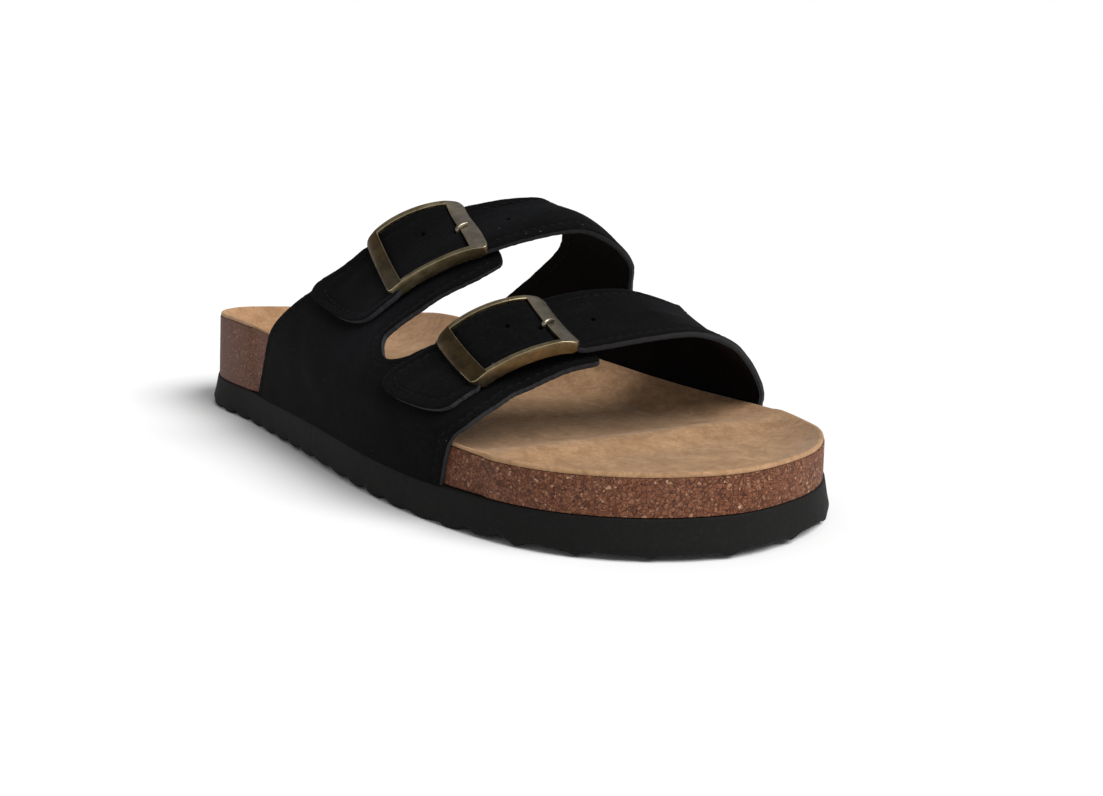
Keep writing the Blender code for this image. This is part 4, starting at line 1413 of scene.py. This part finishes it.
# %% Brass finishes
def aged_brass(name, dark, light, roughness):
    look = Look(name, Metallic=1.0)
    clouds = look.noise(260.0, 4.0, 0.65, 0.4)
    shade = look.mix(look.ramp(clouds, [(0.34, 0.0), (0.68, 1.0)]), dark, light)
    spots = look.ramp(look.noise(1500.0, 3.0, 0.7), [(0.58, 0.0), (0.78, 0.6)])
    shade = look.mix(spots, shade, tuple(0.45 * channel for channel in dark))
    matt = look.ramp(look.noise(700.0, 3.0), [(0.30, roughness - 0.07), (0.75, roughness + 0.10)])
    return look.join(Base_Color=shade, Roughness=matt, Normal=look.bump(look.noise(1900.0, 2.0), 0.03))


brass = {
    "patina": aged_brass("brass_patina", (0.165, 0.127, 0.066), (0.300, 0.243, 0.140), 0.40),
    "worn": aged_brass("brass_worn", (0.300, 0.248, 0.150), (0.420, 0.355, 0.230), 0.30),
    # The dark finish is painted shade on the top of the outer end bar, which faces away from the light. The
    # grey finish is painted light, paler and greyer brass, on the top of the inner end bar, which faces up.
    "dark": aged_brass("brass_painted_shade", (0.046, 0.029, 0.011), (0.100, 0.067, 0.027), 0.42),
    "grey": aged_brass("brass_painted_light", (0.190, 0.163, 0.122), (0.300, 0.264, 0.206), 0.38),
    "pin": aged_brass("brass_pin", (0.170, 0.148, 0.110), (0.270, 0.240, 0.186), 0.36),
}
print("brass finishes:", ", ".join(look.name for look in brass.values()))

# %% [markdown]
# ## The buckle frames
#
# A frame is an arched plate with a window, and its two side bars reach down beside the strap. It starts
# as a grid, as long and as wide as the frame has rows. The window's faces are deleted, the rest is
# extruded for its thickness, and the side bars are extruded once more downwards. The grid is then bent
# onto the last like the strap, and a bevel rounds every edge.

# %% Places on a buckle
FRAME_TOP = 2.8
FRAME_UNDER = 1.4
FRAME_DEPTH = (5.2, 4.1)  # of the rear and the front side bar
FRAME_ROUND = 2.0
END_BAR = 0.155
END_DROP = 0.6
BAR_ENDS = (0.09, 0.70, 0.10, 0.45)  # length and loss of depth of a side bar at its outer and inner end
BAR_CLEAR = 0.2
BAR_LEAST = 0.3
END_COLUMNS = 8
WINDOW_COLUMNS = 36
WINDOW_ROWS = 12
END_STEPS = END_BAR * np.linspace(0.0, 1.0, END_COLUMNS + 1) ** 1.5
WINDOW_STEPS = np.linspace(END_BAR, 1 - END_BAR, WINDOW_COLUMNS + 1)
FRAME_P = np.concatenate([END_STEPS, WINDOW_STEPS[1:-1], 1 - END_STEPS[::-1]])


def frame_spot(buckle, p, q):
    """u and v on the buckle: p runs from its outer to its inner end, q from its rear to its front side."""
    rear_out, rear_in, front_in, front_out = (np.array(corner) for corner in BUCKLES[buckle])
    p, q = np.asarray(p, float)[..., None], np.asarray(q, float)[..., None]
    rear = rear_out + (rear_in - rear_out) * p
    front = front_out + (front_in - front_out) * p
    spot = rear + (front - rear) * q
    return spot[..., 0], spot[..., 1]


def on_frame(buckle, p, q, lift):
    """Points of the buckle, raised by lift over its arch."""
    return on_last(*frame_spot(buckle, p, q), lift + arch(buckle, p, q))


def foot_of(buckle, p, q, top):
    """Lower edge of a side bar, which gets shallower at its ends and rests on the outer half."""
    out_length, out_loss, in_length, in_loss = BAR_ENDS
    depth = FRAME_DEPTH[0] + (FRAME_DEPTH[1] - FRAME_DEPTH[0]) * q
    depth = depth * (1.0 - out_loss * np.maximum(0.0, 1.0 - p / out_length)
                     - in_loss * np.maximum(0.0, 1.0 - (1.0 - p) / in_length))
    rest = table(ARM_LIFT, frame_spot(buckle, p, q)[1]) + LEATHER / 2 + GAP + BAR_CLEAR
    return np.minimum(FRAME_UNDER - BAR_LEAST, np.maximum(top - depth, rest - arch(buckle, p, q)))


# %% Flat frame from a grid
# dark and grey are the painted shade and the painted light of the end bars' tops.
FRAME_FINISHES = ("patina", "worn", "dark", "grey")
FRAME_COLUMNS = len(FRAME_P) - 1
FRAME_ROWS = WINDOW_ROWS + 2


def column_of(face):
    """Column of the flat frame that a face lies in, counted from its outer end."""
    return (face.center.x + 0.5) * FRAME_COLUMNS


def row_of(face):
    """Row of the flat frame that a face lies in, counted from the nearer side."""
    return (0.5 - abs(face.center.y)) * FRAME_ROWS


def flat_frame(name):
    """The frame while it is flat: its top at 1, the plate's underside at 0, the side bars' feet at -1."""
    plate = unit_grid(name, FRAME_COLUMNS, FRAME_ROWS)
    inner_end = FRAME_COLUMNS - END_COLUMNS
    choose_faces(plate, [row_of(face) > 1 and END_COLUMNS < column_of(face) < inner_end
                         for face in plate.data.polygons])
    bpy.ops.mesh.delete(type="FACE")
    bpy.ops.mesh.select_all(action="SELECT")
    pull(1.0)
    leave_edit()
    choose_faces(plate, [row_of(face) < 1 and face.center.z < 0.1 for face in plate.data.polygons])
    pull(-1.0)
    leave_edit()
    # The outer end bar's top gets the painted shade and the inner end bar's top the painted light.
    for face in plate.data.polygons:
        if face.center.z > 0.9 and column_of(face) < END_COLUMNS:
            face.material_index = FRAME_FINISHES.index("dark")
        elif face.center.z > 0.9 and column_of(face) > inner_end:
            face.material_index = FRAME_FINISHES.index("grey")
    return plate


# %% Frame bent onto the last
FRAME_BEVEL = 0.75
BEVEL_STEPS = 3
BEVEL_ANGLE = math.radians(50)


def buckle_frame(buckle):
    wide = np.linalg.norm(on_frame(buckle, 0.5, 0.0, 0.0) - on_frame(buckle, 0.5, 1.0, 0.0))
    long = np.linalg.norm(on_frame(buckle, 0.0, 0.5, 0.0) - on_frame(buckle, 1.0, 0.5, 0.0))
    bar = FRAME_BAR / wide
    frame_q = np.concatenate([[0.0], np.linspace(bar, 1 - bar, WINDOW_ROWS + 1), [1.0]])
    plate = flat_frame("frame_" + buckle)
    flat = points_of(plate)
    p = FRAME_P[np.rint((flat[:, 0] + 0.5) * FRAME_COLUMNS).astype(int)]
    q = frame_q[np.rint((flat[:, 1] + 0.5) * FRAME_ROWS).astype(int)]
    end = np.minimum(p, 1.0 - p)
    top = FRAME_TOP - END_DROP * np.maximum(0.0, 1.0 - end / END_BAR)
    corner = np.maximum(0.0, 1.0 - end * long / FRAME_ROUND)
    drawn_in = FRAME_ROUND / wide * (1.0 - np.sqrt(1.0 - corner ** 2))
    q = 0.5 + (q - 0.5) * (1.0 - 2 * drawn_in)
    heights = np.stack([foot_of(buckle, p, q, top), np.full_like(p, FRAME_UNDER), top])
    level = np.rint(flat[:, 2]).astype(int) + 1
    move_points(plate, metres(on_frame(buckle, p, q, heights[level, np.arange(len(p))])))
    edit_all(plate)
    bpy.ops.mesh.normals_make_consistent(inside=False)
    leave_edit()
    for finish in FRAME_FINISHES:
        plate.data.materials.append(brass[finish])
    finish_with(plate, "BEVEL", width=FRAME_BEVEL * MM, segments=BEVEL_STEPS, limit_method="ANGLE",
                angle_limit=BEVEL_ANGLE, material=FRAME_FINISHES.index("worn"), use_clamp_overlap=True)
    return plate


for buckle in BUCKLES:
    plate = buckle_frame(buckle)
    smooth(plate, 40)
    belongs(plate, "buckle_metal", "buckle_frame_" + buckle)

# %% [markdown]
# ## Prongs and axles
#
# The prong is a bent pin. It swings on an axle below the strap, comes up through a hole and rests on the
# inner bar of the frame. A curve with a round section and a radius at each point gives its taper. The
# axle hardly shows, so the frame's own solid stays and only takes the finish.

# %% Prongs and axles
PRONG_PATH = [  # p, q, lift over the frame's arch, radius of the pin
    (0.824, 0.594, -1.0, 0.66), (0.822, 0.595, 1.8, 0.68), (0.828, 0.591, FRAME_TOP + 0.10, 0.70),
    (0.856, 0.573, FRAME_TOP + 0.50, 0.70), (0.895, 0.546, FRAME_TOP + 0.50, 0.70),
    (0.930, 0.521, FRAME_TOP + 0.26, 0.68),
]
PRONG_BEVEL = 0.25
PRONG_WELD = 0.01
PRONG_STEPS = 8
PRONG_RESOLUTION = 5


def prong(buckle):
    clear_selection()
    bpy.ops.curve.primitive_nurbs_path_add()
    pin = bpy.context.object
    pin.name = "prong_" + buckle
    pin.data.splines.clear()
    spline = pin.data.splines.new("BEZIER")
    spline.bezier_points.add(len(PRONG_PATH) - 1)
    for knot, (p, q, lift, radius) in zip(spline.bezier_points, PRONG_PATH):
        knot.co = metres(on_frame(buckle, p, q, lift))
        knot.handle_left_type = knot.handle_right_type = "AUTO"
        knot.radius = radius
    pin.data.dimensions = "3D"
    pin.data.resolution_u = PRONG_STEPS
    pin.data.bevel_depth = MM
    pin.data.bevel_resolution = PRONG_RESOLUTION
    pin.data.use_fill_caps = True
    pin.data.materials.append(brass["pin"])
    pick(pin)
    bpy.ops.object.convert(target="MESH")
    weld(pin, PRONG_WELD)
    finish_with(pin, "BEVEL", width=PRONG_BEVEL * MM, segments=BEVEL_STEPS, limit_method="ANGLE",
                angle_limit=BEVEL_ANGLE)
    return pin


for buckle in BUCKLES:
    pin = prong(buckle)
    smooth(pin, 40)
    belongs(pin, "buckle_metal", "buckle_prong_" + buckle)
    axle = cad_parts["buckle_axle_" + buckle]
    axle.data.materials.clear()
    axle.data.materials.append(brass["patina"])

# %% [markdown]
# ## Floor and light
#
# The sandal stands on a plain pale floor. One large soft light hangs above and in front of it, which
# throws the strap's shadow back onto the footbed, and a low bright band all round stands for the walls
# of a white studio.

# %% Floor
FLOOR_SIZE = 60.0
FLOOR_STEPS = 24


def pale_floor():
    look = Look("pale_floor", Roughness=0.9, Specular_IOR_Level=0.1)
    shade = look.mix(look.noise(3.0, 2.0), (0.91, 0.91, 0.91), (0.93, 0.93, 0.93))
    return look.join(Base_Color=shade)


clear_selection()
bpy.ops.mesh.primitive_grid_add(x_subdivisions=FLOOR_STEPS, y_subdivisions=FLOOR_STEPS, size=FLOOR_SIZE)
floor = bpy.context.object
floor.name = "studio_floor"
floor.data.materials.append(pale_floor())

# %% Light
SUN_STRENGTH = 3.4
SUN_SPREAD = math.radians(40)
SUN_WAY = Vector((-0.85, -0.25, -1.0))
SKY = 0.34
GLOW = 1.0
GLOW_REACH = (0.132, 0.22)  # height where the bright band starts to fade, and where it ends

bpy.ops.object.light_add(type="SUN", rotation=SUN_WAY.to_track_quat("-Z", "Y").to_euler())
sun = bpy.context.object
sun.data.energy = SUN_STRENGTH
sun.data.angle = SUN_SPREAD

world = bpy.data.worlds.new("studio")
bpy.context.scene.world = world
world.use_nodes = True
nodes, links = world.node_tree.nodes, world.node_tree.links
direction = nodes.new("ShaderNodeTexCoord")
parts = nodes.new("ShaderNodeSeparateXYZ")
fade = nodes.new("ShaderNodeValToRGB")
links.new(direction.outputs["Generated"], parts.inputs[0])
links.new(parts.outputs["Z"], fade.inputs["Fac"])
for stop, height, grey in zip(fade.color_ramp.elements, GLOW_REACH, (GLOW, SKY)):
    stop.position = height
    stop.color = (grey, grey, grey, 1.0)
links.new(fade.outputs["Color"], nodes["Background"].inputs["Color"])
bpy.context.scene.view_settings.view_transform = "Standard"

# %% [markdown]
# ## Finish
#
# The last step leaves nothing selected.

# %% Finish
clear_selection()
